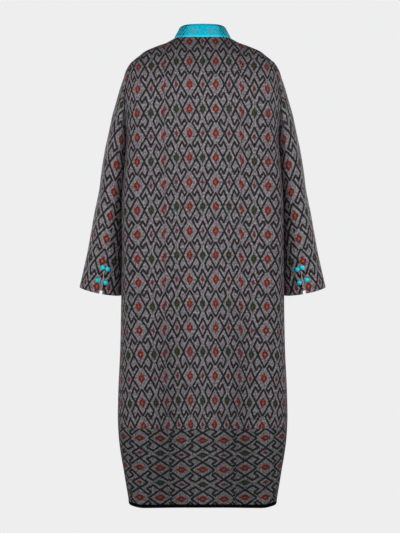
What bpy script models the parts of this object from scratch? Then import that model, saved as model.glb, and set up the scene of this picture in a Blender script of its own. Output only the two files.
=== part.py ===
"""An ankle-length Central Asian chapan robe, hollow and filled out as when it is worn.

Metres, +Z up. The front faces -Y and the wearer's left is +X. The origin is the middle of the neck
opening, level with the neck points. Each piece of cloth is a closed wall of its own, and an angle is
measured round the robe from the centre back, 0, past the left side, 90, to the centre front, 180.
"""
import math

import bmesh
import bpy
import numpy as np

# Driving sizes
CLOTH = 0.002
SEAM_GAP = 0.0003
FRONT_GAP = 0.0018
UNDERARM_Z = -0.275
BAND_TOP_Z = -1.0725
HEM_Z = -1.2836
BINDING_HEIGHT = 0.0085
BINDING_PROUD = 0.0005
BACK_NECK_DROP = 0.004
FRONT_NECK_DROP = 0.075
FRONT_NECK_CURVE = 2.4
SLEEVE_CLEARANCE = 0.0016
VENT_LENGTH = 0.058
VENT_OPENING = 0.009
VENT_CURVE = 1.6
BUTTON_RADIUS = 0.0068
BUTTON_HEIGHT = 0.0062
BUTTON_LIFT = 0.0005

# Level sections of the body, from the neck points down to the hem.
BODY_COLUMNS = ("height", "half_width", "back", "front", "power")
BODY = (
    (0.0000, 0.0812, 0.0600, 0.0520, 2.10),
    (-0.0125, 0.1050, 0.0680, 0.0620, 2.10),
    (-0.0235, 0.1344, 0.0745, 0.0710, 2.15),
    (-0.0350, 0.1612, 0.0810, 0.0790, 2.20),
    (-0.0480, 0.1780, 0.0878, 0.0868, 2.28),
    (-0.0605, 0.1930, 0.0938, 0.0935, 2.36),
    (-0.0800, 0.2080, 0.1005, 0.1015, 2.48),
    (-0.1000, 0.2165, 0.1060, 0.1075, 2.60),
    (-0.1300, 0.2215, 0.1115, 0.1150, 2.80),
    (-0.1700, 0.2225, 0.1160, 0.1220, 3.00),
    (-0.2100, 0.2195, 0.1190, 0.1270, 3.15),
    (-0.2500, 0.2145, 0.1210, 0.1300, 3.25),
    (-0.2750, 0.2118, 0.1220, 0.1310, 3.30),
    (-0.3200, 0.2150, 0.1230, 0.1305, 3.35),
    (-0.4400, 0.2245, 0.1240, 0.1275, 3.40),
    (-0.5900, 0.2255, 0.1265, 0.1290, 3.45),
    (-0.7150, 0.2266, 0.1310, 0.1335, 3.50),
    (-0.8650, 0.2292, 0.1360, 0.1380, 3.50),
    (-1.0000, 0.2350, 0.1395, 0.1405, 3.50),
    (-1.0650, 0.2355, 0.1400, 0.1410, 3.55),
    (-1.1300, 0.2305, 0.1400, 0.1410, 3.65),
    (-1.2000, 0.2182, 0.1395, 0.1410, 4.00),
    (-1.2836, 0.2018, 0.1385, 0.1400, 5.00),
)

# How far the hem hangs lower away from the middle.
DIP_COLUMNS = ("across", "drop")
DIP = (
    (0.000, 0.0000),
    (0.100, 0.0005),
    (0.140, 0.0017),
    (0.170, 0.0028),
    (0.188, 0.0008),
    (0.204, 0.0000),
)

# Height of the collar and the share it narrows by, by angle from the centre back.
COLLAR_COLUMNS = ("angle", "rise", "lean")
COLLAR = (
    (0, 0.0362, 0.20),
    (45, 0.0345, 0.20),
    (90, 0.0305, 0.20),
    (135, 0.0305, 0.15),
    (180, 0.0330, 0.10),
)

# Distance of the panel seams from the centre back.
PANEL_SEAM_COLUMNS = ("height", "offset")
PANEL_SEAM = (
    (0.000, 0.1020),
    (-0.060, 0.1040),
    (-0.200, 0.1040),
    (-0.600, 0.1025),
    (-0.900, 0.0995),
    (-1.073, 0.0925),
    (-1.284, 0.0870),
)

# The armhole seen from the side: its reach to the back and to the front.
ARMHOLE_COLUMNS = ("height", "back", "front")
ARMHOLE = (
    (-0.0605, 0.000, 0.000),
    (-0.0660, 0.023, 0.026),
    (-0.0780, 0.038, 0.043),
    (-0.1000, 0.049, 0.058),
    (-0.1300, 0.054, 0.066),
    (-0.1650, 0.050, 0.067),
    (-0.2000, 0.043, 0.061),
    (-0.2350, 0.036, 0.050),
    (-0.2600, 0.026, 0.034),
    (-0.2750, 0.000, 0.000),
)

# Sleeve sections below the armhole: the outer and inner ends, the middle and half depth front to back,
# and how far round from the outer end the back seam runs, as a share of the half round.
SLEEVE_COLUMNS = ("outer_x", "outer_z", "inner_x", "inner_z", "middle_y", "half_depth", "back_seam")
SLEEVE = (
    (0.2090, -0.0785, 0.2121, -0.2765, -0.006, 0.0570, 0.75),
    (0.2192, -0.1020, 0.2115, -0.2800, -0.008, 0.0610, 0.75),
    (0.2313, -0.1356, 0.2110, -0.2860, -0.010, 0.0640, 0.75),
    (0.2411, -0.1692, 0.2105, -0.2940, -0.012, 0.0665, 0.75),
    (0.2512, -0.2028, 0.2100, -0.3040, -0.014, 0.0690, 0.75),
    (0.2626, -0.2532, 0.2100, -0.3240, -0.016, 0.0715, 0.75),
    (0.2747, -0.3092, 0.2110, -0.3540, -0.018, 0.0740, 0.722),
    (0.2842, -0.3652, 0.2135, -0.3960, -0.020, 0.0745, 0.708),
    (0.2916, -0.4212, 0.2175, -0.4440, -0.022, 0.0730, 0.698),
    (0.3034, -0.4772, 0.2225, -0.4970, -0.024, 0.0690, 0.652),
    (0.3141, -0.5332, 0.2262, -0.5540, -0.028, 0.0635, 0.610),
    (0.3243, -0.5892, 0.2280, -0.6110, -0.032, 0.0575, 0.575),
    (0.3370, -0.6452, 0.2288, -0.6680, -0.036, 0.0510, 0.543),
    (0.3486, -0.6930, 0.2290, -0.7165, -0.040, 0.0450, 0.522),
)
FRONT_SEAM = -2 / 3  # of the half round, towards the front
CUFF_DROP = 0.007  # of the cuff's edge at the back, between its outer and inner ends

# Soft upright folds of the body: a positive depth stands out.
FOLD_COLUMNS = ("angle", "half_angle", "top", "bottom", "depth")
FOLDS = (
    (62, 9, -0.78, -1.36, 0.0030),
    (-63, 9, -0.84, -1.36, 0.0028),
    (97, 10, -0.80, -1.40, -0.0050),
    (-98, 9, -0.76, -1.40, -0.0045),
    (121, 10, -0.50, -1.40, 0.0065),
    (-119, 11, -0.56, -1.40, 0.0060),
    (137, 9, -0.62, -1.40, -0.0055),
    (-136, 9, -0.54, -1.40, -0.0060),
    (155, 10, -0.70, -1.40, 0.0040),
    (-157, 9, -0.66, -1.40, 0.0045),
)

# Creases across the sleeve at the elbow, by share of the round and of the length.
CREASE_COLUMNS = ("around", "along", "half_around", "half_along", "slant", "depth")
CREASES = (
    (0.36, 0.47, 0.10, 0.060, 0.20, -0.0030),
    (0.33, 0.63, 0.09, 0.055, -0.15, -0.0025),
    (0.68, 0.50, 0.10, 0.060, -0.20, -0.0030),
)

# Cuff buttons: where each centre lies, seen from behind.
BUTTON_COLUMNS = ("across", "height")
BUTTONS = (
    (0.2778, -0.6385),
    (0.2643, -0.6432),
    (0.2908, -0.6735),
    (0.2702, -0.6808),
)

# Grid cells of each piece
UPPER_ROWS = 12
LOWER_ROWS = 16
BAND_ROWS = 5
BACK_NECK_COLUMNS = 5
FRONT_NECK_COLUMNS = 7
SHOULDER_COLUMNS = 5
SIDE_COLUMNS = 7
SLEEVE_ROWS = 20
TOP_SLEEVE_COLUMNS = 17
UNDER_SLEEVE_COLUMNS = 7
HALF_ROUND = 96
COLLAR_ROWS = 3
BUTTON_SIDES = 12

# Colour, roughness and metallic value
LOOKS = {
    "ikat": ((0.20, 0.19, 0.195, 1.0), 0.75, 0.0),
    "collar": ((0.0, 0.36, 0.52, 1.0), 0.60, 0.0),
    "binding": ((0.008, 0.008, 0.009, 1.0), 0.70, 0.0),
    "button": ((0.0, 0.48, 0.62, 1.0), 0.25, 0.0),
}


def column(table, names, name):
    return np.array([row[names.index(name)] for row in table])


def smooth(keys, values, at):
    """Cubic curve through values, given at rising keys."""
    slopes = np.gradient(values, keys)
    at = np.clip(at, keys[0], keys[-1])
    i = np.clip(np.searchsorted(keys, at, side="right") - 1, 0, len(keys) - 2)
    span = keys[i + 1] - keys[i]
    t = (at - keys[i]) / span
    start = (2 * t**3 - 3 * t**2 + 1) * values[i] + (t**3 - 2 * t**2 + t) * span * slopes[i]
    end = (3 * t**2 - 2 * t**3) * values[i + 1] + (t**3 - t**2) * span * slopes[i + 1]
    return start + end


def body_size(name, height):
    keys = column(BODY, BODY_COLUMNS, "height")[::-1]
    return smooth(keys, column(BODY, BODY_COLUMNS, name)[::-1], height)


def seam_offset(height):
    keys = column(PANEL_SEAM, PANEL_SEAM_COLUMNS, "height")[::-1]
    return smooth(keys, column(PANEL_SEAM, PANEL_SEAM_COLUMNS, "offset")[::-1], height)


def fold_out(angle, height):
    """How far the folds move the body's surface outwards."""
    out = np.zeros_like(angle)
    for middle, half, top, bottom, depth in FOLDS:
        across = np.exp(-(((np.degrees(angle) - middle) / half) ** 2))
        down = np.clip((top - height) / (top - bottom), 0, 1)
        out += depth * across * down * down * (3 - 2 * down)
    return out


def body_point(angle, height):
    """Point of the outer surface at an angle in radians and a height."""
    angle, height = np.broadcast_arrays(np.asarray(angle, float), np.asarray(height, float))
    depth = np.where(np.cos(angle) > 0, body_size("back", height), body_size("front", height))
    power = body_size("power", height)
    across = np.abs(np.sin(angle) / body_size("half_width", height)) ** power
    along = np.abs(np.cos(angle) / depth) ** power
    radius = (across + along) ** (-1 / power) + fold_out(angle, height)
    return np.stack([radius * np.sin(angle), radius * np.cos(angle), height], axis=-1)


def body_angle(points):
    return np.arctan2(points[..., 0], points[..., 1])


def body_normal(points):
    """Outward normal of the body's surface at points on it."""
    step = 1e-4
    angle, height = body_angle(points), points[..., 2]
    round_it = body_point(angle + step, height) - body_point(angle - step, height)
    down_it = body_point(angle, height - step) - body_point(angle, height)
    normal = np.cross(round_it, down_it)
    return normal / np.linalg.norm(normal, axis=-1, keepdims=True)


def distances(points):
    steps = np.linalg.norm(np.diff(points, axis=0), axis=-1)
    return np.concatenate([[0.0], np.cumsum(steps)])


def spaced(points, shares):
    """Points at the given shares of a polyline's length."""
    along = distances(points)
    at = np.asarray(shares) * along[-1]
    return np.stack([np.interp(at, along, points[:, k]) for k in range(points.shape[1])], axis=-1)


def level_row(height, first, last, shares):
    """Row of the body's surface at one height, between two angles."""
    return spaced(body_point(np.linspace(first, last, 200), height), shares)


def seam_angle(height, margin):
    """Angle of the left panel seam, moved round by a margin."""
    width = body_size("half_width", height)
    across = np.clip((seam_offset(height) + margin) / width, 0, 1)
    power = body_size("power", height)
    depth = body_size("back", height) * (1 - across**power) ** (1 / power)
    return np.arctan2(across * width, depth)


def ridge_height(across):
    """Height of the shoulder line at a distance from the middle."""
    heights = np.linspace(0.0, column(ARMHOLE, ARMHOLE_COLUMNS, "height")[0], 200)
    return np.interp(across, body_size("half_width", heights), heights)


def ridge_points(start, end, side, count):
    """Shoulder line between two distances from the middle, moved to the back or front by side."""
    across = np.linspace(start, end, count)
    heights = ridge_height(across)
    angle = math.pi / 2 - side * (SEAM_GAP / 2) / across
    return body_point(angle, heights)


def armhole_points(reach, side, margin, count):
    """Half of the armhole, from the shoulder point down to the underarm."""
    height = column(ARMHOLE, ARMHOLE_COLUMNS, "height")
    depth = column(ARMHOLE, ARMHOLE_COLUMNS, reach)
    outline = np.stack([np.concatenate([-depth[1:4][::-1], depth, -depth[-4:-1][::-1]]),
                        np.concatenate([height[1:4][::-1], height, height[-4:-1][::-1]])], axis=-1)
    keys = distances(outline)
    at = np.linspace(keys[3], keys[3 + len(height) - 1], 160)
    curve = np.stack([smooth(keys, outline[:, k], at) for k in range(2)], axis=-1)
    along = np.gradient(curve, axis=0)
    outwards = np.stack([-along[:, 1], along[:, 0]], axis=-1)
    curve = curve + margin * outwards / np.linalg.norm(outwards, axis=-1, keepdims=True)
    curve[:, 0] = np.maximum(curve[:, 0], SEAM_GAP / 2)
    width = body_size("half_width", curve[:, 1])
    power = body_size("power", curve[:, 1])
    across = width * (1 - (curve[:, 0] / body_size(reach, curve[:, 1])) ** power) ** (1 / power)
    points = body_point(np.arctan2(across, side * curve[:, 0]), curve[:, 1])
    return spaced(points, np.linspace(0, 1, count))


def neck_points(first, last, count):
    """Neck edge of the body between two angles."""
    angle = np.linspace(first, last, 200)
    back = -BACK_NECK_DROP * np.cos(angle) ** 2
    front = -FRONT_NECK_DROP * np.abs(np.cos(angle)) ** FRONT_NECK_CURVE
    height = np.where(np.cos(angle) > 0, back, front)
    return spaced(body_point(angle, height), np.linspace(0, 1, count))


def back_neck():
    """Neck edge from the centre back to the back's side of the shoulder seam."""
    end = math.pi / 2 - (SEAM_GAP / 2) / body_size("half_width", 0.0)
    return neck_points(0.0, end, BACK_NECK_COLUMNS + 1)


def front_neck():
    """Neck edge from the front's side of the shoulder seam to the centre front."""
    start = math.pi / 2 + (SEAM_GAP / 2) / body_size("half_width", 0.0)
    return neck_points(start, front_angle(-FRONT_NECK_DROP), FRONT_NECK_COLUMNS + 1)


def filled(top, bottom, left, right):
    """Grid of points on the body between four edges."""
    u = np.linspace(0, 1, len(top))[None, :, None]
    v = np.linspace(0, 1, len(left))[:, None, None]
    lengthwise = (1 - v) * top[None] + v * bottom[None]
    crosswise = (1 - u) * left[:, None] + u * right[:, None]
    corners = ((1 - v) * ((1 - u) * top[0] + u * top[-1])
               + v * ((1 - u) * bottom[0] + u * bottom[-1]))
    grid = lengthwise + crosswise - corners
    grid = body_point(body_angle(grid), grid[..., 2])
    grid[0], grid[-1], grid[:, 0], grid[:, -1] = top, bottom, left, right
    return grid


def lower_rows(first, last, columns, heights):
    """Level rows between two edges, each an angle or a function of height."""
    shares = np.linspace(0, 1, columns + 1)
    edge = [e if callable(e) else (lambda height, e=e: e) for e in (first, last)]
    return np.array([level_row(h, edge[0](h), edge[1](h), shares) for h in heights])


def side_angle(side):
    """Side seam, on the back's side of it (1) or the front's (-1)."""
    return lambda height: math.pi / 2 - side * (SEAM_GAP / 2) / body_size("half_width", height)


def front_angle(height):
    return math.pi - (FRONT_GAP / 2) / body_size("front", height)


def panel_seam(margin):
    return lambda height: float(seam_angle(height, margin))


def below_underarm():
    top = UNDERARM_Z - SEAM_GAP / 2
    return np.linspace(top, BAND_TOP_Z + SEAM_GAP / 2, LOWER_ROWS + 1)


def centre_back():
    """Half of the centre back panel, from the middle to the panel seam."""
    neck_end = float(body_size("half_width", 0.0))
    heights = below_underarm()
    margin = -SEAM_GAP / 2
    middle = spaced(body_point(0.0, np.linspace(-BACK_NECK_DROP, heights[0], 100)),
                    np.linspace(0, 1, UPPER_ROWS + 1))
    seam = seam_line(margin, heights[0])
    top = np.concatenate([back_neck(), seam[:1]])
    shares = np.append(np.linspace(0, neck_end / seam[0, 0], BACK_NECK_COLUMNS + 1), 1.0)
    rows = [level_row(h, 0.0, panel_seam(margin)(h), shares) for h in heights]
    upper = filled(top, rows[0], middle, seam)
    return np.concatenate([upper, rows[1:]])


def seam_line(margin, lowest):
    """Panel seam from the shoulder line to a height."""
    across = seam_offset(0.0) + margin
    top = ridge_points(across, across, 1, 1)
    heights = top[0, 2] - (top[0, 2] - lowest) * np.linspace(0, 1, 160)[1:] ** 2
    angles = np.array([panel_seam(margin)(h) for h in heights])
    return spaced(np.concatenate([top, body_point(angles, heights)]), np.linspace(0, 1, UPPER_ROWS + 1))


def side_back():
    heights = below_underarm()
    margin = SEAM_GAP / 2
    seam = seam_line(margin, heights[0])
    armhole = armhole_points("back", 1, margin, UPPER_ROWS + 1)
    armhole[-1] = body_point(side_angle(1)(heights[0]), heights[0])
    top = ridge_points(seam[0, 0], armhole[0, 0], 1, SIDE_COLUMNS + 1)
    armhole[0] = top[-1]
    rows = lower_rows(panel_seam(margin), side_angle(1), SIDE_COLUMNS, heights)
    upper = filled(top, rows[0], seam, armhole)
    return np.concatenate([upper, rows[1:]])


def front():
    """Left front, from the side seam to the middle."""
    heights = below_underarm()
    armhole = armhole_points("front", -1, SEAM_GAP / 2, UPPER_ROWS + 1)
    armhole[-1] = body_point(side_angle(-1)(heights[0]), heights[0])
    neck = front_neck()
    shoulder = ridge_points(armhole[0, 0], neck[0, 0], -1, SHOULDER_COLUMNS + 1)
    armhole[0] = shoulder[0]
    top = np.concatenate([shoulder[:-1], neck])
    drop = np.linspace(neck[-1, 2], heights[0], 100)
    middle = spaced(body_point(front_angle(drop), drop), np.linspace(0, 1, UPPER_ROWS + 1))
    columns = SHOULDER_COLUMNS + FRONT_NECK_COLUMNS
    rows = lower_rows(side_angle(-1), front_angle, columns, heights)
    upper = filled(top, rows[0], armhole, middle)
    return np.concatenate([upper, rows[1:]])


def band(first, last, columns):
    top = BAND_TOP_Z - SEAM_GAP / 2
    bottom = HEM_Z + BINDING_HEIGHT + SEAM_GAP / 2
    return lower_rows(first, last, columns, np.linspace(top, bottom, BAND_ROWS + 1))


def sleeve_loops():
    """Loops of points from the armhole to the cuff, each from its outer end round the back."""
    turn = np.linspace(0, math.pi, HALF_ROUND + 1)
    back = armhole_points("back", 1, 0.0, HALF_ROUND + 1)
    front = armhole_points("front", -1, 0.0, HALF_ROUND + 1)
    loops = [np.concatenate([back, front[-2:0:-1]])]
    for outer_x, outer_z, inner_x, inner_z, middle_y, half_depth, _ in SLEEVE:
        outer = np.array([outer_x, middle_y, outer_z])
        inner = np.array([inner_x, middle_y, inner_z])
        centre, reach = (outer + inner) / 2, (outer - inner) / 2
        half = [centre + math.cos(a) * reach + np.array([0, half_depth * math.sin(a), 0]) for a in turn]
        back = spaced(np.array(half), np.linspace(0, 1, HALF_ROUND + 1))
        front = back * (1, -1, 1) + (0, 2 * middle_y, 0)
        if len(loops) == len(SLEEVE):
            back[:, 2] -= CUFF_DROP * np.sin(turn)
        loops.append(np.concatenate([back, front[-2:0:-1]]))
    return np.array(loops)


def crease_in(around, along):
    """How far the creases move the sleeve's surface outwards."""
    out = np.zeros(np.broadcast(around, along).shape)
    for middle, place, half_around, half_along, slant, depth in CREASES:
        aside = (around - middle) / half_around
        down = (along - place - slant * (around - middle)) / half_along
        out += depth * np.exp(-(aside**2) - down**2)
    return out


def loop_places(loops):
    """Each loop's share of the way from the armhole to the cuff, and the length of that way."""
    steps = np.linalg.norm(np.diff(loops, axis=0), axis=-1).mean(axis=1)
    return np.concatenate([[0.0], np.cumsum(steps)]) / steps.sum(), steps.sum()


def sleeve_surface(rows):
    """Outer points of the left sleeve, in rows from the armhole to the cuff."""
    loops = sleeve_loops()
    keys, _ = loop_places(loops)
    along = np.linspace(0, 1, rows + 1)
    flat = loops.reshape(len(loops), -1)
    grid = np.stack([smooth(keys, flat[:, k], along) for k in range(flat.shape[1])], axis=-1)
    grid = grid.reshape(rows + 1, -1, 3)
    around = np.arange(grid.shape[1]) / grid.shape[1]
    grid[1:] += (sleeve_normals(grid) * crease_in(around[None], along[:, None])[..., None])[1:]
    return kept_clear(grid, along)


def kept_clear(grid, along):
    """Sleeve points, moved out where they would touch the body."""
    angle, height = body_angle(grid), grid[..., 2]
    surface = body_point(angle, height)
    least = np.linalg.norm(surface[..., :2], axis=-1) + SLEEVE_CLEARANCE
    radius = np.linalg.norm(grid[..., :2], axis=-1)
    share = np.maximum(1.0, least / radius)
    share[along == 0] = 1.0
    moved = grid.copy()
    moved[..., :2] *= share[..., None]
    return moved


def sleeve_normals(grid):
    around = np.roll(grid, -1, axis=1) - np.roll(grid, 1, axis=1)
    along = np.gradient(grid, axis=0)
    normal = np.cross(along, around)
    return normal / np.linalg.norm(normal, axis=-1, keepdims=True)


def sleeve_root(grid, normals):
    """First row of the sleeve, set off from the armhole, and its wall's direction there."""
    edge = grid[0]
    normal = body_normal(edge)
    tangent = np.roll(edge, -1, axis=0) - np.roll(edge, 1, axis=0)
    into_hole = np.cross(normal, tangent)
    into_hole /= np.linalg.norm(into_hole, axis=-1, keepdims=True)
    into_hole *= np.sign((into_hole * (edge.mean(axis=0) - edge)).sum(axis=-1, keepdims=True))
    leaves = grid[1] - edge
    bend = np.arctan2((leaves * normal).sum(axis=-1), (leaves * into_hole).sum(axis=-1))
    bend = np.clip(np.where(bend < -math.pi / 2, math.pi, bend), 0, math.pi)[:, None]
    aside = np.cos(bend / 2) * into_hole + np.sin(bend / 2) * normal
    wall = np.cos(bend) * normal - np.sin(bend) * into_hole
    grid[0] = edge + SEAM_GAP * aside
    normals[0] = wall


def sleeve_columns(grid, normals, first, last, columns):
    """Part of the sleeve between two edges, each a share of the half round for each row."""
    shares = np.linspace(0, 1, columns + 1)
    count = grid.shape[1]
    outer, wall = [], []
    for row, direction, start, end in zip(grid, normals, first, last):
        at = (start + (end - start) * shares) * count / 2
        low = np.floor(at).astype(int)
        part = (at - low)[:, None]
        outer.append(row[low % count] * (1 - part) + row[(low + 1) % count] * part)
        wall.append(direction[low % count] * (1 - part) + direction[(low + 1) % count] * part)
    wall = np.array(wall)
    return np.array(outer), wall / np.linalg.norm(wall, axis=-1, keepdims=True)


def seam_shares(grid):
    """Back seam of the sleeve at each row, and half its gap there, as shares of the half round."""
    rows = len(grid)
    stations = column(SLEEVE, SLEEVE_COLUMNS, "back_seam")
    keys, length = loop_places(sleeve_loops())
    seam = smooth(keys, np.concatenate([stations[:1], stations]), np.linspace(0, 1, rows))
    half_round = np.linalg.norm(np.diff(grid, axis=1), axis=-1).sum(axis=1) / 2
    from_cuff = (1 - np.linspace(0, 1, rows)) * length
    opened = np.clip(1 - from_cuff / VENT_LENGTH, 0, 1) ** VENT_CURVE
    gap = SEAM_GAP + (VENT_OPENING - SEAM_GAP) * opened
    return seam, gap / 2 / half_round, SEAM_GAP / 2 / half_round


def material(name):
    made = bpy.data.materials.get(name)
    if made is None:
        colour, roughness, metallic = LOOKS[name]
        made = bpy.data.materials.new(name)
        made.use_nodes = True
        shader = made.node_tree.nodes["Principled BSDF"]
        shader.inputs["Base Color"].default_value = colour
        shader.inputs["Roughness"].default_value = roughness
        shader.inputs["Metallic"].default_value = metallic
        made.diffuse_color = colour
    return made


def mesh_object(name, points, faces, look):
    """Closed mesh object, its faces pointing out, with a material of its own."""
    mesh = bpy.data.meshes.new(name)
    mesh.from_pydata([tuple(map(float, p)) for p in points], [], faces)
    work = bmesh.new()
    work.from_mesh(mesh)
    bmesh.ops.triangulate(work, faces=work.faces)
    bmesh.ops.recalc_face_normals(work, faces=work.faces)
    work.to_mesh(mesh)
    work.free()
    own = material(look).copy()
    own.name = name
    mesh.materials.append(own)
    mesh.shade_smooth()
    mesh.set_sharp_from_angle(angle=math.radians(40))
    made = bpy.data.objects.new(name, mesh)
    bpy.context.scene.collection.objects.link(made)
    return made


def wall(name, outer, inner, look):
    """Cloth wall between two grids of points, closed round its edge."""
    rows, columns = outer.shape[:2]
    index = np.arange(rows * columns).reshape(rows, columns)
    back = index + rows * columns
    faces = []
    for i in range(rows - 1):
        for j in range(columns - 1):
            faces.append((index[i, j], index[i, j + 1], index[i + 1, j + 1], index[i + 1, j]))
            faces.append((back[i, j], back[i + 1, j], back[i + 1, j + 1], back[i, j + 1]))
    edge = np.concatenate([index[0], index[1:, -1], index[-1, -2::-1], index[-2:0:-1, 0]])
    for here, after in zip(edge, np.roll(edge, -1)):
        faces.append((here, here + rows * columns, after + rows * columns, after))
    points = np.concatenate([outer.reshape(-1, 3), inner.reshape(-1, 3)])
    return mesh_object(name, points, [tuple(int(k) for k in face) for face in faces], look)


def dipped(points):
    """Points of the body with the hem's slight dip towards the sides."""
    across = np.abs(points[..., 0])
    drop = smooth(column(DIP, DIP_COLUMNS, "across"), column(DIP, DIP_COLUMNS, "drop"), across)
    share = np.clip((BAND_TOP_Z - points[..., 2]) / (BAND_TOP_Z - HEM_Z), 0, 1)
    lowered = points.copy()
    lowered[..., 2] -= drop * share**2
    return lowered


def body_wall(name, outer, side=1):
    """Wall of cloth inside a grid on the body's left, or on its right when side is -1."""
    if side < 0:
        outer = body_point(-body_angle(outer), outer[..., 2])
    return wall(name, dipped(outer), dipped(outer - CLOTH * body_normal(outer)), "ikat")


def mirrored(points, side):
    return points * (side, 1, 1)


def make_body():
    half = centre_back()
    right = body_point(-body_angle(half), half[..., 2])
    body_wall("back_center", np.concatenate([right[:, :0:-1], half], axis=1))
    for label, side in (("left", 1), ("right", -1)):
        body_wall(f"back_side_{label}", side_back(), side=side)
        body_wall(f"front_{label}", front(), side=side)


def make_band():
    inside, outside = panel_seam(-SEAM_GAP / 2), panel_seam(SEAM_GAP / 2)
    half = band(0.0, inside, BACK_NECK_COLUMNS + 1)
    right = body_point(-body_angle(half), half[..., 2])
    body_wall("hem_band_back", np.concatenate([right[:, :0:-1], half], axis=1))
    for label, side in (("left", 1), ("right", -1)):
        side_piece = band(outside, side_angle(1), SIDE_COLUMNS)
        body_wall(f"hem_band_side_{label}", side_piece, side=side)
        front_piece = band(side_angle(-1), front_angle, SHOULDER_COLUMNS + FRONT_NECK_COLUMNS)
        body_wall(f"hem_band_front_{label}", front_piece, side=side)


def make_binding():
    """Narrow strip along the hem, a little thicker than the band above it."""
    edges = (0.0, panel_seam(0.0), side_angle(0), front_angle)
    columns = (BACK_NECK_COLUMNS + 1, SIDE_COLUMNS, SHOULDER_COLUMNS + FRONT_NECK_COLUMNS)
    heights = (HEM_Z + BINDING_HEIGHT - SEAM_GAP / 2, HEM_Z)
    parts = [lower_rows(first, last, count, heights)
             for first, last, count in zip(edges[:-1], edges[1:], columns)]
    half = np.concatenate([parts[0], parts[1][:, 1:], parts[2][:, 1:]], axis=1)
    right = body_point(-body_angle(half), half[..., 2])
    middle = np.concatenate([right[:, :0:-1], half], axis=1)
    normal = body_normal(middle)
    outer = middle + BINDING_PROUD * normal
    inner = middle - (CLOTH + BINDING_PROUD) * normal
    wall("hem_binding", dipped(outer), dipped(inner), "binding")


def collar_size(name, angle):
    return smooth(column(COLLAR, COLLAR_COLUMNS, "angle"), column(COLLAR, COLLAR_COLUMNS, name), angle)


def make_collar():
    """Stand collar, one wall from centre front right round to centre front."""
    half = np.concatenate([back_neck()[:-1], front_neck()])
    half[0, 0] = 0.0
    base = np.concatenate([half[:0:-1] * (-1, 1, 1), half]) + (0, 0, SEAM_GAP)
    angle = np.degrees(np.abs(body_angle(base)))
    rows = []
    for share in np.linspace(1, 0, COLLAR_ROWS + 1):
        row = base.copy()
        row[:, :2] *= 1 - share * collar_size("lean", angle)[:, None]
        row[:, 2] += share * collar_size("rise", angle)
        row[(0, -1), 0] = -FRONT_GAP / 2, FRONT_GAP / 2
        rows.append(row)
    outer = np.array(rows)
    normal = np.cross(np.gradient(outer, axis=1), np.gradient(outer, axis=0))
    normal[:, (0, -1), 0] = 0
    normal /= np.linalg.norm(normal, axis=-1, keepdims=True)
    wall("collar", outer, outer - CLOTH * normal, "collar")


def make_sleeves():
    """Both sleeves; returns the outer points of the left one's two pieces."""
    grid = sleeve_surface(SLEEVE_ROWS)
    normals = sleeve_normals(grid)
    sleeve_root(grid, normals)
    seam, vent, gap = seam_shares(grid)
    fore = np.full(len(grid), FRONT_SEAM)
    pieces = (("top", fore + gap, seam - vent, TOP_SLEEVE_COLUMNS),
              ("under", seam + vent, fore + 2 - gap, UNDER_SLEEVE_COLUMNS))
    surfaces = []
    for part, first, last, columns in pieces:
        outer, direction = sleeve_columns(grid, normals, first, last, columns)
        surfaces.append(outer)
        for label, side in (("left", 1), ("right", -1)):
            inner = outer - CLOTH * direction
            wall(f"sleeve_{label}_{part}", mirrored(outer, side), mirrored(inner, side), "ikat")
    return surfaces


def seat_on(surfaces, across, height):
    """Point of the sleeve's back at a place seen from behind, and the normal there."""
    best, up = None, None
    for grid in surfaces:
        corners = np.stack([grid[:-1, :-1], grid[:-1, 1:], grid[1:, 1:], grid[1:, :-1]], axis=2)
        for quad in corners.reshape(-1, 4, 3):
            for a, b, c in (quad[:3], quad[(0, 2, 3), :]):
                normal = np.cross(b - a, c - a)
                sides = np.stack([b - a, c - a])[:, (0, 2)].T
                share = np.linalg.solve(sides, np.array([across, height]) - a[(0, 2),])
                inside = share.min() >= -0.02 and share.sum() <= 1.02
                if inside and abs(normal[1]) > 1e-9:
                    point = a + share @ np.stack([b - a, c - a])
                    if best is None or point[1] > best[1]:
                        best, up = point, normal / np.linalg.norm(normal)
    return best, up * np.sign(up[1])


def make_buttons(surfaces):
    """Domed buttons on the back of the cuff."""
    levels = ((0.0, 0.70), (0.22, 1.0), (0.50, 0.97), (0.80, 0.68), (0.95, 0.32))
    for number, (across, height) in enumerate(BUTTONS, 1):
        seat, up = seat_on(surfaces, across, height)
        seat = seat + BUTTON_LIFT * up
        aside = np.cross(up, (0, 0, 1))
        aside /= np.linalg.norm(aside)
        ahead = np.cross(up, aside)
        points = [seat]
        for lift, share in levels:
            for turn in np.linspace(0, 2 * math.pi, BUTTON_SIDES, endpoint=False):
                spoke = math.cos(turn) * aside + math.sin(turn) * ahead
                points.append(seat + lift * BUTTON_HEIGHT * up + share * BUTTON_RADIUS * spoke)
        points.append(seat + BUTTON_HEIGHT * up)
        faces = []
        for j in range(BUTTON_SIDES):
            after = (j + 1) % BUTTON_SIDES
            faces.append((0, 1 + after, 1 + j))
            for ring in range(len(levels) - 1):
                low, high = 1 + ring * BUTTON_SIDES, 1 + (ring + 1) * BUTTON_SIDES
                faces.append((low + j, low + after, high + after, high + j))
            last = 1 + (len(levels) - 1) * BUTTON_SIDES
            faces.append((last + j, last + after, len(points) - 1))
        for label, side in (("left", 1), ("right", -1)):
            mesh_object(f"button_{label}_{number}", mirrored(np.array(points), side), faces, "button")


def main():
    for old in list(bpy.data.objects):
        bpy.data.objects.remove(old, do_unlink=True)
    make_body()
    make_band()
    make_binding()
    make_collar()
    make_buttons(make_sleeves())


main()
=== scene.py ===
"""Looks of an ankle-length Central Asian chapan robe: cloth, trimmings, light and camera.

Metres, +Z up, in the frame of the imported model: the front faces -Y, the wearer's left is +X, and
the origin is the middle of the neck opening, level with the neck points. An angle is measured
round the robe from the centre back, 0, past the left side, 90, to the centre front, 180. Each
piece of cloth is a thin shell on the form of its CAD node.
"""

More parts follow.
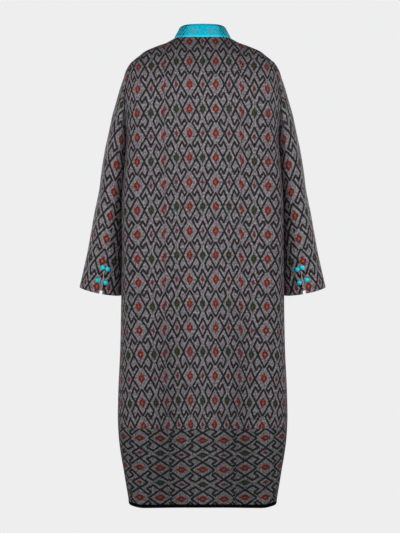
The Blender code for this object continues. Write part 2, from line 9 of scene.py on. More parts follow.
from math import atan2, cos, hypot, pi, sin

import bmesh
import bpy
import numpy as np
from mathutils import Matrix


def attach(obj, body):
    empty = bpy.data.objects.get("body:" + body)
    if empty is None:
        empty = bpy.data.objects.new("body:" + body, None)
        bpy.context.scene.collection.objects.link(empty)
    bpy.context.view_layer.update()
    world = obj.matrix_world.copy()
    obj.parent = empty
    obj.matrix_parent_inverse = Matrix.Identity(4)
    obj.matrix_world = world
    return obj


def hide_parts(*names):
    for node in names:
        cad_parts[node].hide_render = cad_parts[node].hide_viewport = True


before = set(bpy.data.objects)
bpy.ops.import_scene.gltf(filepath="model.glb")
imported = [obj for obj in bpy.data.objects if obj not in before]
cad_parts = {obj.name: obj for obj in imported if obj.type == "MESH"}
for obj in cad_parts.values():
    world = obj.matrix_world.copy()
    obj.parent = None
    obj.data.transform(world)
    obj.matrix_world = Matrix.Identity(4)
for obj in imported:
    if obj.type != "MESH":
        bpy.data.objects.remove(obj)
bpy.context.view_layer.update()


def smooth(keys, values, at):
    """Cubic curve through values, given at rising keys."""
    slopes = np.gradient(values, keys)
    at = np.clip(at, keys[0], keys[-1])
    i = np.clip(np.searchsorted(keys, at, side="right") - 1, 0, len(keys) - 2)
    span = keys[i + 1] - keys[i]
    t = (at - keys[i]) / span
    start = (2 * t**3 - 3 * t**2 + 1) * values[i] + (t**3 - 2 * t**2 + t) * span * slopes[i]
    end = (3 * t**2 - 2 * t**3) * values[i + 1] + (t**3 - t**2) * span * slopes[i + 1]
    return start + end


class Table:
    """Named columns of numbers, each read by a place along the first."""

    def __init__(self, names, *rows):
        self.names, self.rows = names.split(), np.array(sorted(rows), dtype=float)

    def __getitem__(self, name):
        return self.rows[:, self.names.index(name)]

    def at(self, name, place):
        return smooth(self.rows[:, 0], self[name], place)

    def straight(self, name, place):
        return np.interp(place, self.rows[:, 0], self[name])


# Driving sizes, as in the CAD
SHELL = 0.0016
SEAM_GAP = 0.0001
FRONT_GAP = 0.0008
UNDERARM_Z = -0.275
BAND_TOP_Z = -1.0725
HEM_Z = -1.2836
BINDING_HEIGHT = 0.0085
BINDING_PROUD = 0.0007
BINDING_LAP = 0.0011  # over the edge of the hem band
BINDING_BULGE = 4  # power that rounds its section
BINDING_LEAST = 0.02  # of the bulge, at the strip's two edges
BACK_NECK_DROP = 0.004
FRONT_NECK_DROP = 0.075
FRONT_NECK_CURVE = 2.4
SLEEVE_CLEARANCE = 0.0016
VENT_LENGTH = 0.058
VENT_OPENING = 0.009
VENT_CURVE = 1.6
BUTTON_RADIUS = 0.0068
BUTTON_HEIGHT = 0.0062
BUTTON_LIFT = 0.0005
FACES_BACK = 0.2  # least y of the normal where a button can lie

# Level sections of the body, from the neck points down to the hem.
BODY = Table(
    "height half_width back front power",
    (0.0000, 0.0812, 0.0600, 0.0520, 2.10),
    (-0.0125, 0.1050, 0.0680, 0.0620, 2.10),
    (-0.0235, 0.1344, 0.0745, 0.0710, 2.15),
    (-0.0350, 0.1612, 0.0810, 0.0790, 2.20),
    (-0.0480, 0.1780, 0.0878, 0.0868, 2.28),
    (-0.0605, 0.1930, 0.0938, 0.0935, 2.36),
    (-0.0800, 0.2080, 0.1005, 0.1015, 2.48),
    (-0.1000, 0.2165, 0.1060, 0.1075, 2.60),
    (-0.1300, 0.2215, 0.1115, 0.1150, 2.80),
    (-0.1700, 0.2225, 0.1160, 0.1220, 3.00),
    (-0.2100, 0.2195, 0.1190, 0.1270, 3.15),
    (-0.2500, 0.2145, 0.1210, 0.1300, 3.25),
    (-0.2750, 0.2118, 0.1220, 0.1310, 3.30),
    (-0.3200, 0.2150, 0.1230, 0.1305, 3.35),
    (-0.4400, 0.2245, 0.1240, 0.1275, 3.40),
    (-0.5900, 0.2255, 0.1265, 0.1290, 3.45),
    (-0.7150, 0.2266, 0.1310, 0.1335, 3.50),
    (-0.8650, 0.2292, 0.1360, 0.1380, 3.50),
    (-1.0000, 0.2350, 0.1395, 0.1405, 3.50),
    (-1.0650, 0.2355, 0.1400, 0.1410, 3.55),
    (-1.1300, 0.2305, 0.1400, 0.1410, 3.65),
    (-1.2000, 0.2182, 0.1395, 0.1410, 4.00),
    (-1.2836, 0.2018, 0.1385, 0.1400, 5.00),
)

# How far the hem hangs lower away from the middle.
DIP = Table(
    "across drop",
    (0.000, 0.0000),
    (0.100, 0.0005),
    (0.140, 0.0017),
    (0.170, 0.0028),
    (0.188, 0.0008),
    (0.204, 0.0000),
)

# Height of the collar and the share it narrows by, by angle from the centre back.
COLLAR = Table(
    "angle rise lean",
    (0, 0.0388, 0.20),
    (45, 0.0368, 0.20),
    (90, 0.0312, 0.20),
    (135, 0.0305, 0.15),
    (180, 0.0330, 0.10),
)

# Distance of the panel seams from the centre back.
PANEL_SEAM = Table(
    "height offset",
    (0.000, 0.1020),
    (-0.060, 0.1040),
    (-0.200, 0.1040),
    (-0.600, 0.1025),
    (-0.900, 0.0995),
    (-1.073, 0.0925),
    (-1.284, 0.0870),
)

# The armhole seen from the side: its reach to the back and to the front.
ARMHOLE = Table(
    "height back front",
    (-0.0605, 0.000, 0.000),
    (-0.0660, 0.023, 0.026),
    (-0.0780, 0.038, 0.043),
    (-0.1000, 0.049, 0.058),
    (-0.1300, 0.054, 0.066),
    (-0.1650, 0.050, 0.067),
    (-0.2000, 0.043, 0.061),
    (-0.2350, 0.036, 0.050),
    (-0.2600, 0.026, 0.034),
    (-0.2750, 0.000, 0.000),
)

# Sleeve sections below the armhole: x and z of the outer end and of the inner one, the middle and
# half depth front to back, and the back seam's share of the half round from the outer end.
SLEEVE = (
    (0.2090, -0.0785, 0.2121, -0.2765, -0.006, 0.0570, 0.75),
    (0.2192, -0.1020, 0.2115, -0.2800, -0.008, 0.0610, 0.75),
    (0.2313, -0.1356, 0.2110, -0.2860, -0.010, 0.0640, 0.75),
    (0.2411, -0.1692, 0.2105, -0.2940, -0.012, 0.0665, 0.75),
    (0.2512, -0.2028, 0.2100, -0.3040, -0.014, 0.0690, 0.75),
    (0.2626, -0.2532, 0.2100, -0.3240, -0.016, 0.0715, 0.75),
    (0.2747, -0.3092, 0.2110, -0.3540, -0.018, 0.0740, 0.722),
    (0.2842, -0.3652, 0.2135, -0.3960, -0.020, 0.0745, 0.708),
    (0.2916, -0.4212, 0.2175, -0.4440, -0.022, 0.0730, 0.698),
    (0.3034, -0.4772, 0.2225, -0.4970, -0.024, 0.0690, 0.652),
    (0.3141, -0.5332, 0.2262, -0.5540, -0.028, 0.0635, 0.610),
    (0.3243, -0.5892, 0.2280, -0.6110, -0.032, 0.0575, 0.575),
    (0.3370, -0.6452, 0.2288, -0.6680, -0.036, 0.0510, 0.543),
    (0.3486, -0.6930, 0.2290, -0.7165, -0.040, 0.0450, 0.522),
)
FRONT_SEAM = -2 / 3  # of the half round, towards the front
CUFF_DROP = 0.007  # of the cuff's edge at the back, between its outer and inner ends

# Soft upright folds of the body: angle and half width in degrees, the heights where each starts and
# is full, and its depth, positive where it stands out.
FOLDS = (
    (62, 9, -0.78, -1.36, 0.0030),
    (-63, 9, -0.84, -1.36, 0.0028),
    (97, 10, -0.80, -1.40, -0.0050),
    (-98, 9, -0.76, -1.40, -0.0045),
    (121, 10, -0.50, -1.40, 0.0065),
    (-119, 11, -0.56, -1.40, 0.0060),
    (137, 9, -0.62, -1.40, -0.0055),
    (-136, 9, -0.54, -1.40, -0.0060),
    (155, 10, -0.70, -1.40, 0.0040),
    (-157, 9, -0.66, -1.40, 0.0045),
)

# Creases of the sleeve: the share of the round and of the length where each lies, its half sizes in
# the same shares, its slant and its depth. The CAD has the first three.
SLEEVE_CREASES = (
    (0.36, 0.47, 0.10, 0.060, 0.20, -0.0030),
    (0.33, 0.63, 0.09, 0.055, -0.15, -0.0025),
    (0.68, 0.50, 0.10, 0.060, -0.20, -0.0030),
    (0.12, 0.30, 0.050, 0.030, 0.45, -0.0011),
    (0.16, 0.41, 0.060, 0.026, 0.38, 0.0009),
    (0.10, 0.55, 0.055, 0.028, -0.30, -0.0012),
    (0.07, 0.70, 0.050, 0.024, 0.25, -0.0009),
    (0.17, 0.80, 0.060, 0.030, -0.22, 0.0008),
    (0.30, 0.24, 0.045, 0.034, -0.40, -0.0012),
    (0.40, 0.33, 0.040, 0.028, -0.35, -0.0013),
    (0.60, 0.36, 0.045, 0.030, 0.30, -0.0013),
    (0.72, 0.28, 0.050, 0.034, 0.42, 0.0010),
    (0.80, 0.44, 0.055, 0.030, -0.32, -0.0012),
    (0.88, 0.58, 0.050, 0.026, 0.28, -0.0010),
    (0.77, 0.72, 0.060, 0.028, -0.25, 0.0009),
    (0.92, 0.84, 0.045, 0.026, 0.20, -0.0008),
)

# Creases of the body's shells: the height and the angle where each lies, its half sizes in the same
# measures, its lean in degrees for each metre of height and its depth.
BODY_CREASES = (
    (-0.335, 70, 0.050, 5.0, -190, -0.0012),
    (-0.350, -71, 0.055, 5.0, 180, -0.0013),
    (-0.400, 60, 0.060, 5.5, -160, 0.0009),
    (-0.385, -58, 0.055, 5.0, 170, 0.0008),
    (-0.930, 42, 0.120, 4.5, 20, -0.0010),
    (-0.860, -45, 0.140, 5.0, -15, -0.0010),
    (-1.000, 20, 0.110, 4.5, 10, 0.0008),
    (-0.960, -16, 0.130, 5.0, -12, 0.0008),
    (-0.360, 108, 0.050, 4.5, 170, -0.0016),
    (-0.350, -107, 0.050, 4.5, -180, -0.0016),
    (-0.420, 118, 0.060, 5.0, 150, 0.0011),
    (-0.435, -120, 0.060, 5.0, -160, 0.0012),
    (-0.170, 128, 0.060, 4.5, 60, -0.0012),
    (-0.185, -127, 0.055, 4.5, -70, -0.0013),
    (-0.480, 166, 0.150, 4.0, 8, -0.0012),
    (-0.560, -164, 0.140, 4.0, -10, -0.0013),
    (-0.880, 146, 0.160, 4.5, 6, 0.0014),
    (-0.950, -147, 0.150, 4.5, -8, 0.0014),
    (-0.620, 82, 0.120, 4.5, -12, -0.0012),
    (-0.560, -84, 0.130, 4.5, 14, -0.0012),
)

# Cuff buttons: x and z of each centre on the left sleeve.
BUTTONS = (
    (0.2778, -0.6385),
    (0.2643, -0.6432),
    (0.2908, -0.6735),
    (0.2702, -0.6808),
)

# Whip stitches that hold the cuff's vent together
STITCH_TOP = 0.061  # from the cuff's edge, as where they end
STITCH_END = 0.011
STITCH_STEP = 0.0019
STITCH_BITE = 0.0010  # into the cloth beside the vent
STITCH_RADIUS = 0.00045
STITCH_ARCH = (0.4, 1.4)  # a leg's height at its ends and what its middle adds, in radii
STITCH_UNEVEN = ((0.25, 2.1, 0), (0.15, 3.7, 1))  # in steps: size, turn for each leg and phase
STITCH_SIDES = 6
STITCH_CUTS = 4

# Grid cells of each shell, and the rough widths and lengths that they divide
UPPER_ROWS = 52
LOWER_ROWS = 150
BAND_ROWS = 38
BACK_NECK_COLUMNS = 17
RIDGE_COLUMNS = 4
FRONT_NECK_COLUMNS = 28
SHOULDER_COLUMNS = 22
SIDE_COLUMNS = 26
SLEEVE_ROWS = 104
TOP_SLEEVE_COLUMNS = 56
UNDER_SLEEVE_COLUMNS = 22
HALF_ROUND = 96
COLLAR_ROWS = 9
PANEL_WIDTH = 0.11
BACK_BAND_WIDTH = 0.09
SIDE_BAND_WIDTH = 0.15
FRONT_BAND_WIDTH = 0.28
SLEEVE_LENGTH = 0.55
TOP_SLEEVE_WIDTH = 0.30
UNDER_SLEEVE_WIDTH = 0.12
COLLAR_WIDTH = 0.034
BINDING_ROWS = 4
BUTTON_SIDES = 28
BUTTON_EDGE = ((0.0, 0.62), (0.06, 0.86), (0.16, 0.97), (0.30, 1.0))  # shares of height and radius
BUTTON_DOME = (0.15, 1.45, 9)  # angles of its first and last rings, and how many
EDGE_STEPS = (0.0006, 0.0014, 0.0028)  # extra grid lines beside an edge
SHOULDER_PART = 5 / 12  # of the front's columns, the others end at the neck
CURVE_POINTS = 400  # of an edge, before its grid points are spaced along it
LINE_POINTS = 200
ARC_POINTS = 60

# How a seam or folded edge shapes the cloth beside it
ROLL = 0.0005
ROLL_REACH = 0.0011
PUCKER = 0.00035
PUCKER_REACH = 0.011
# Waves of the puckers: length, height and the length of the swell that they grow and shrink by
PUCKER_WAVES = ((0.0190, 1.0, 0.083), (0.0310, 0.6, 0.121), (0.0127, 0.35, 0.062))
WAVE_SWELL = (0.55, 0.45, 2.3)  # middle and swing of its height, and its phase in wave phases
WAVE_PHASE = 1.7
INNER_ROLL = 0.5  # share of the roll on the inner face
ROUND_SCALE = 0.2  # rough radius, for distances round the robe
SLEEVE_PUCKER = 0.6  # share of the puckers on the sleeves

# The repeat of the ikat cloth: rows of motifs, A and B by turns, in columns of red diamonds and of
# green ones. A chart gives every point its column, even on red and odd on green, and its row, even
# on A and odd on B.
COLUMN = 0.0353
ROW = 0.0655
CHART = "Chart"
UPRIGHT_BELOW = -0.13  # above this height the columns of motifs run straight up to the shoulder
LAST_ROW_ABOVE_BAND = 0.0127
LAST_ROW = 15
ROW_SAG = 0.0036  # of the rows at the middle of the back, where the cloth hangs a little lower
ROW_SAG_Z = -0.57
ROW_SAG_REACH = 0.33
NECK_RISE = 0.0020  # of the rows above NECK_RISE_Z, up to the neck
NECK_RISE_Z = -0.20
SIDE_DROOP = 0.0046  # of the rows for each column beyond this one, low on the side back panel
SIDE_DROOP_COLUMN = 6
SIDE_DROOP_COLUMNS = 1.5  # that the droop grows over
SIDE_DROOP_Z = -0.42
SIDE_DROOP_REACH = 0.16
CENTRE_COLUMNS = 2.92  # from the centre back to the panel seam
FRONT_SHIFT = 0.003
SEAM_COLUMN = 4
FURTHER_COLUMNS = 6  # even ones, beyond the three in SIDE_STEPS
FRONT_EDGE_COLUMN = 0.5
BAND_FIRST_RED = -1.1023
BAND_COLUMN = 0.0395
BAND_ROW = 0.057
BAND_SIDE_SHIFT = 0.0048

# Distances round the side back panel from its seam to its first column and on to the next two, and
# how much lower its rows lie than those of the centre.
SIDE_STEPS = Table(
    "height first second third shift",
    (-0.060, 0.0365, 0.0385, 0.0300, 0.0096),
    (-0.130, 0.0365, 0.0405, 0.0300, 0.0096),
    (-0.200, 0.0365, 0.0420, 0.0310, 0.0096),
    (-0.280, 0.0363, 0.0432, 0.0370, 0.0096),
    (-0.350, 0.0363, 0.0412, 0.0430, 0.0096),
    (-0.410, 0.0362, 0.0402, 0.0462, 0.0096),
    (-0.600, 0.0358, 0.0404, 0.0478, 0.0096),
    (-0.700, 0.0340, 0.0400, 0.0450, 0.0092),
    (-0.880, 0.0305, 0.0386, 0.0405, 0.0078),
    (-1.080, 0.0293, 0.0375, 0.0380, 0.0064),
)

# Rows of motifs on the sleeve's top piece: how far outwards from the back seam the red column lies,
# the distance on to the green one and the drop there.
SLEEVE_MOTIFS = Table(
    "from_cuff row red spacing drop",
    (-0.0500, 0, 0.0140, 0.0380, -0.0040),
    (0.0166, 1, 0.0140, 0.0385, -0.0042),
    (0.0875, 2, 0.0110, 0.0400, -0.0027),
    (0.1510, 3, 0.0115, 0.0410, -0.0040),
    (0.2150, 4, 0.0160, 0.0415, -0.0053),
    (0.2828, 5, 0.0235, 0.0440, 0.0000),
    (0.3595, 6, 0.0285, 0.0460, 0.0098),
    (0.4435, 7, 0.0270, 0.0520, 0.0245),
    (0.5375, 8, 0.0200, 0.0580, 0.0400),
    (0.6150, 9, 0.0200, 0.0560, 0.0450),
)
OUTER_SPACING = 0.0400  # beyond the first green column, round the outer side and the front
DROP_SPAN = (-0.5, 1.5)  # columns that the drop grows over

# The same on its under piece, with the distance inwards from the back seam to the green column
UNDER_MOTIFS = Table(
    "from_cuff row green spacing",
    (-0.050, 0, 0.021, 0.042),
    (0.018, 1, 0.021, 0.042),
    (0.093, 2, 0.024, 0.044),
    (0.173, 3, 0.036, 0.052),
    (0.246, 4, 0.058, 0.078),
    (0.318, 5, 0.075, 0.098),
    (0.388, 6, 0.083, 0.100),
    (0.458, 7, 0.090, 0.100),
    (0.528, 8, 0.096, 0.100),
    (0.598, 9, 0.100, 0.100),
)

# Camera and stage
CAMERA_PLACE = (0.0073, 3.4, -0.6354)
CAMERA_LENS = 82.01
FLOOR_Z = -1.42
BACKGROUND = 0.855
AMBIENT = 0.22
WHITE = (1.0, 1.0, 1.004, 1.0)
LIGHT_Z = -0.16
LIGHT_DROP = 0.1  # of the point that a light is aimed at
# Square area lights: name, x and y of each, side and power
LIGHTS = (
    ("softbox", ((1.25, 1.40), (-1.25, 1.40), (1.25, -1.40), (-1.25, -1.40)), 0.7, 13.1),
    ("fill", ((0.0, 1.6), (0.0, -1.6)), 1.0, 6.4),
)


SIDES = (("left", 1), ("right", -1))
MARGIN = SEAM_GAP / 2
UNDERARM_ROW = UNDERARM_Z - MARGIN  # height of the first level row
MIDDLE_COLUMNS = BACK_NECK_COLUMNS + RIDGE_COLUMNS
FRONT_COLUMNS = SHOULDER_COLUMNS + FRONT_NECK_COLUMNS


def stacked(*parts):
    return np.stack(parts, axis=-1)


def joined(*parts, axis=0):
    return np.concatenate(parts, axis=axis)


def edged(count, width, first=True, last=True):
    """Even shares of a width, with extra ones close to its ends."""
    steps = np.array(EDGE_STEPS) / width
    close = [steps] * first + [1 - steps] * last
    return np.unique(joined(np.linspace(0, 1, count + 1), *close))


UPPER_SHARES = edged(UPPER_ROWS, -UNDERARM_Z, last=False)
SLEEVE_SHARES = edged(SLEEVE_ROWS, SLEEVE_LENGTH)


def unit(vectors):
    return vectors / np.linalg.norm(vectors, axis=-1, keepdims=True)


def distances(points, axis=0):
    """Distance to each point along its line of points."""
    steps = np.linalg.norm(np.diff(points, axis=axis), axis=-1)
    return joined(np.zeros_like(steps.take([0], axis)), steps.cumsum(axis), axis=axis)


def spaced(points, shares):
    """Points at the given shares of a polyline's length."""
    along = distances(points)
    return stacked(*(np.interp(shares * along[-1], along, values) for values in points.T))


def creases(first, second, table):
    """How far creases move a surface outwards, in a table of their places in two ways."""
    out = np.zeros(np.broadcast(first, second).shape)
    for place, middle, half, reach, slant, depth in table:
        across = (first - place) / half
        along = (second - middle - slant * (first - place)) / reach
        out += depth * np.exp(-(across**2) - along**2)
    return out


# ---- the form of the body ----

def depth_at(height, behind):
    return np.where(behind, BODY.at("back", height), BODY.at("front", height))


def left_of(share, power):
    """Share of the half depth left at a share of the half width, or the other way round."""
    return np.clip(1 - share**power, 0, 1) ** (1 / power)


def fold_out(angle, height):
    """How far the folds move the body's surface outwards."""
    out = np.zeros_like(angle)
    for middle, half, top, bottom, depth in FOLDS:
        across = np.exp(-(((np.degrees(angle) - middle) / half) ** 2))
        down = np.clip((top - height) / (top - bottom), 0, 1)
        out += depth * across * down * down * (3 - 2 * down)
    return out


def body_point(angle, height):
    """Point of the outer surface at an angle in radians and a height."""
    angle, height = np.broadcast_arrays(np.asarray(angle, float), np.asarray(height, float))
    power = BODY.at("power", height)
    across = np.abs(np.sin(angle) / BODY.at("half_width", height)) ** power
    along = np.abs(np.cos(angle) / depth_at(height, np.cos(angle) > 0)) ** power
    radius = (across + along) ** (-1 / power) + fold_out(angle, height)
    return stacked(radius * np.sin(angle), radius * np.cos(angle), height)


def body_angle(points):
    return np.arctan2(points[..., 0], points[..., 1])


def body_normal(points):
    """Outward normal of the body's surface at points on it."""
    step = 1e-4
    angle, height = body_angle(points), points[..., 2]
    round_it = body_point(angle + step, height) - body_point(angle - step, height)
    down_it = body_point(angle, height - step) - body_point(angle, height)
    return unit(np.cross(round_it, down_it))


def mirrored(grid):
    return body_point(-body_angle(grid), grid[..., 2])


def whole(half):
    """Grid across the middle from its left half."""
    return joined(mirrored(half)[:, :0:-1], half, axis=1)


def seam_angle(height, margin):
    """Angle of the left panel seam, moved round by a margin."""
    width = BODY.at("half_width", height)
    across = np.clip((PANEL_SEAM.at("offset", height) + margin) / width, 0, 1)
    depth = BODY.at("back", height) * left_of(across, BODY.at("power", height))
    return np.arctan2(across * width, depth)


def panel_seam(margin):
    return lambda height: float(seam_angle(height, margin))


def side_angle(side):
    """Side seam, on the back's side of it (1) or the front's (-1)."""
    return lambda height: pi / 2 - side * MARGIN / BODY.at("half_width", height)


def centre_angle(height):
    return 0.0


def front_angle(height):
    return pi - (FRONT_GAP / 2) / BODY.at("front", height)


def ridge_points(start, end, side, shares):
    """Shoulder line between two distances from the middle, moved to the back or front by side."""
    across = start + (end - start) * shares
    heights = np.linspace(0.0, ARMHOLE["height"][-1], LINE_POINTS)
    height = np.interp(across, BODY.at("half_width", heights), heights)
    return body_point(pi / 2 - side * MARGIN / across, height)


def armhole_points(reach, side, margin, shares):
    """Half of the armhole, from the shoulder point down to the underarm."""
    height, depth = ARMHOLE["height"][::-1], ARMHOLE[reach][::-1]
    lap = 3  # points of the other half, for the slope at both ends
    outline = stacked(np.pad(depth, lap, "reflect", reflect_type="odd"),
                      np.pad(height, lap, "reflect"))
    keys = distances(outline)
    at = np.linspace(keys[lap], keys[-1 - lap], CURVE_POINTS)
    curve = stacked(*(smooth(keys, values, at) for values in outline.T))
    along = np.gradient(curve, axis=0)
    curve = curve + margin * unit(stacked(-along[:, 1], along[:, 0]))
    away, height = np.maximum(curve[:, 0], MARGIN), curve[:, 1]
    width = BODY.at("half_width", height)
    across = width * left_of(away / BODY.at(reach, height), BODY.at("power", height))
    return spaced(body_point(np.arctan2(across, side * away), height), shares)


def neck_points(first, last, shares):
    """Neck edge of the body between two angles."""
    angle = np.linspace(first, last, CURVE_POINTS)
    back = -BACK_NECK_DROP * np.cos(angle) ** 2
    front_drop = -FRONT_NECK_DROP * np.abs(np.cos(angle)) ** FRONT_NECK_CURVE
    return spaced(body_point(angle, np.where(np.cos(angle) > 0, back, front_drop)), shares)


def back_neck():
    """Neck edge from the centre back to the back's side of the shoulder seam."""
    return neck_points(0.0, side_angle(1)(0.0), np.linspace(0, 1, BACK_NECK_COLUMNS + 1))


def front_neck(shares):
    """Neck edge from the front's side of the shoulder seam to the centre front."""
    return neck_points(side_angle(-1)(0.0), front_angle(-FRONT_NECK_DROP), shares)


def rows_between(first, last, shares, heights):
    """Level rows between two edges, each a function from height to angle."""
    return np.array([spaced(body_point(np.linspace(first(h), last(h), CURVE_POINTS), h), shares)
                     for h in heights])


def upright(angle, top):
    """Upright line of the upper body."""
    heights = np.linspace(top, UNDERARM_ROW, LINE_POINTS)
    return spaced(body_point(angle(heights), heights), UPPER_SHARES)


def panel(top, left, right, first, last, shares):
    """Grid of a panel: filled between four edges above the underarm, in level rows below it."""
    drop = BAND_TOP_Z + MARGIN - UNDERARM_ROW
    rows = rows_between(first, last, shares,
                        UNDERARM_ROW + drop * edged(LOWER_ROWS, -drop, first=False))
    bottom = rows[0]
    u, v = shares[None, :, None], UPPER_SHARES[:, None, None]
    lengthwise = (1 - v) * top[None] + v * bottom[None]
    crosswise = (1 - u) * left[:, None] + u * right[:, None]
    corners = ((1 - v) * ((1 - u) * top[0] + u * top[-1])
               + v * ((1 - u) * bottom[0] + u * bottom[-1]))
    grid = lengthwise + crosswise - corners
    grid = body_point(body_angle(grid), grid[..., 2])
    grid[0], grid[-1], grid[:, 0], grid[:, -1] = top, bottom, left, right
    return joined(grid, rows[1:])


def seam_line(margin):
    """Panel seam from the shoulder line to the underarm."""
    across = PANEL_SEAM.at("offset", 0.0) + margin
    top = ridge_points(across, across, 1, np.zeros(1))
    heights = top[0, 2] - (top[0, 2] - UNDERARM_ROW) * np.linspace(0, 1, CURVE_POINTS)[1:] ** 2
    angles = seam_angle(heights, margin)
    return spaced(joined(top, body_point(angles, heights)), UPPER_SHARES)


def armhole_edge(reach, side):
    edge = armhole_points(reach, side, MARGIN, UPPER_SHARES)
    edge[-1] = body_point(side_angle(side)(UNDERARM_ROW), UNDERARM_ROW)
    return edge


def centre_back():
    """Half of the centre back panel, from the middle to the panel seam."""
    seam, neck = seam_line(-MARGIN), back_neck()
    start, width = neck[-1, 0], seam[0, 0]
    ridge = edged(RIDGE_COLUMNS, width - start, first=False)
    top = joined(neck[:-1], ridge_points(start, width, 1, ridge))
    turn = start / width
    shares = joined(np.linspace(0, turn, len(neck))[:-1], turn + (1 - turn) * ridge)
    middle = upright(centre_angle, -BACK_NECK_DROP)
    return panel(top, middle, seam, centre_angle, panel_seam(-MARGIN), shares)


def side_back():
    seam, armhole = seam_line(MARGIN), armhole_edge("back", 1)
    shares = edged(SIDE_COLUMNS, PANEL_WIDTH)
    top = ridge_points(seam[0, 0], armhole[0, 0], 1, shares)
    armhole[0] = top[-1]
    return panel(top, seam, armhole, panel_seam(MARGIN), side_angle(1), shares)


def front():
    """Left front, from the side seam to the middle."""
    by_shoulder = edged(SHOULDER_COLUMNS, PANEL_WIDTH, last=False)
    by_neck = edged(FRONT_NECK_COLUMNS, PANEL_WIDTH, first=False)
    shares = joined(SHOULDER_PART * by_shoulder[:-1], SHOULDER_PART + (1 - SHOULDER_PART) * by_neck)
    armhole, neck = armhole_edge("front", -1), front_neck(by_neck)
    shoulder = ridge_points(armhole[0, 0], neck[0, 0], -1, by_shoulder)
    armhole[0] = shoulder[0]
    top = joined(shoulder[:-1], neck)
    middle = upright(front_angle, neck[-1, 2])
    return panel(top, armhole, middle, side_angle(-1), front_angle, shares)


def band(first, last, shares):
    top = BAND_TOP_Z - MARGIN
    bottom = HEM_Z + BINDING_HEIGHT + MARGIN
    heights = top + (bottom - top) * edged(BAND_ROWS, top - bottom)
    return rows_between(first, last, shares, heights)


def dipped(points):
    """Points of the body with the hem's slight dip towards the sides."""
    share = np.clip((BAND_TOP_Z - points[..., 2]) / (BAND_TOP_Z - HEM_Z), 0, 1)
    lowered = points.copy()
    lowered[..., 2] -= DIP.at("drop", np.abs(points[..., 0])) * share**2
    return lowered


# ---- the form of the sleeve ----

def sleeve_loops():
    """Loops of points from the armhole to the cuff, each from its outer end round the back."""
    turn, shares = (np.linspace(0, end, HALF_ROUND + 1) for end in (pi, 1))
    halves = [[armhole_points("back", 1, 0.0, shares), armhole_points("front", -1, 0.0, shares)]]
    for outer_x, outer_z, inner_x, inner_z, middle_y, half_depth, _ in SLEEVE:
        outer = np.array([outer_x, middle_y, outer_z])
        inner = np.array([inner_x, middle_y, inner_z])
        centre, reach = (outer + inner) / 2, (outer - inner) / 2
        half = [centre + cos(a) * reach + (0, half_depth * sin(a), 0) for a in turn]
        back = spaced(np.array(half), shares)
        halves.append([back, back * (1, -1, 1) + (0, 2 * middle_y, 0)])
    halves[-1][0][:, 2] -= CUFF_DROP * np.sin(turn)
    return np.array([joined(back, fore[-2:0:-1]) for back, fore in halves])


def sleeve_normals(grid):
    around = np.roll(grid, -1, axis=1) - np.roll(grid, 1, axis=1)
    return unit(np.cross(np.gradient(grid, axis=0), around))


def sleeve_surface():
    """Outer points of the left sleeve, in rows from the armhole to the cuff, the loops' shares of
    the way there and the length of that way."""
    loops = sleeve_loops()
    steps = np.linalg.norm(np.diff(loops, axis=0), axis=-1).mean(axis=1)
    keys, length = joined([0.0], np.cumsum(steps)) / steps.sum(), steps.sum()
    flat = loops.reshape(len(loops), -1)
    grid = stacked(*(smooth(keys, values, SLEEVE_SHARES) for values in flat.T))
    grid = grid.reshape(len(grid), -1, 3)
    around = np.arange(grid.shape[1]) / grid.shape[1]
    out = creases(around[None], SLEEVE_SHARES[:, None], SLEEVE_CREASES)
    grid[1:] += (sleeve_normals(grid) * out[..., None])[1:]
    surface = body_point(body_angle(grid), grid[..., 2])
    least = np.linalg.norm(surface[..., :2], axis=-1) + SLEEVE_CLEARANCE
    share = np.maximum(1.0, least / np.linalg.norm(grid[..., :2], axis=-1))
    grid[1:, :, :2] *= share[1:, :, None]
    return grid, keys, length


def sleeve_root(grid, normals):
    """First row of the sleeve, set off from the armhole, and its wall's direction there."""
    edge = grid[0]
    normal = body_normal(edge)
    into_hole = unit(np.cross(normal, np.roll(edge, -1, axis=0) - np.roll(edge, 1, axis=0)))
    into_hole *= np.sign((into_hole * (edge.mean(axis=0) - edge)).sum(axis=-1, keepdims=True))
    leaves = grid[len(EDGE_STEPS) + 1] - edge
    bend = np.arctan2((leaves * normal).sum(axis=-1), (leaves * into_hole).sum(axis=-1))
    bend = np.clip(np.where(bend < -pi / 2, pi, bend), 0, pi)[:, None]
    grid[0] = edge + SEAM_GAP * (np.cos(bend / 2) * into_hole + np.sin(bend / 2) * normal)
    normals[0] = np.cos(bend) * normal - np.sin(bend) * into_hole


def sleeve_columns(values, first, last, shares):
    """Values on the sleeve's rings between two edges, each a share of the half round by row."""
    count = values.shape[1]
    picked = []
    for row, start, end in zip(values, first, last):
        at = (start + (end - start) * shares) * count / 2
        low = np.floor(at).astype(int)
        part = (at - low)[:, None]
        picked.append(row[low % count] * (1 - part) + row[(low + 1) % count] * part)
    return np.array(picked)


def seam_shares(grid, keys, length):
    """Back seam of the sleeve by row, as a share of the half round, with the margins to the vent's
    and the front seam's edges, the half round and the distance from the cuff in metres."""
    seam = smooth(keys, np.array([row[-1] for row in SLEEVE[:1] + SLEEVE]), SLEEVE_SHARES)
    half_round = np.linalg.norm(np.diff(grid, axis=1), axis=-1).sum(axis=1) / 2
    from_cuff = (1 - SLEEVE_SHARES) * length
    opened = np.clip(1 - from_cuff / VENT_LENGTH, 0, 1) ** VENT_CURVE
    gap = SEAM_GAP + (VENT_OPENING - SEAM_GAP) * opened
    return seam, gap / 2 / half_round, MARGIN / half_round, half_round, from_cuff


# ---- charts: column and row of motifs ----

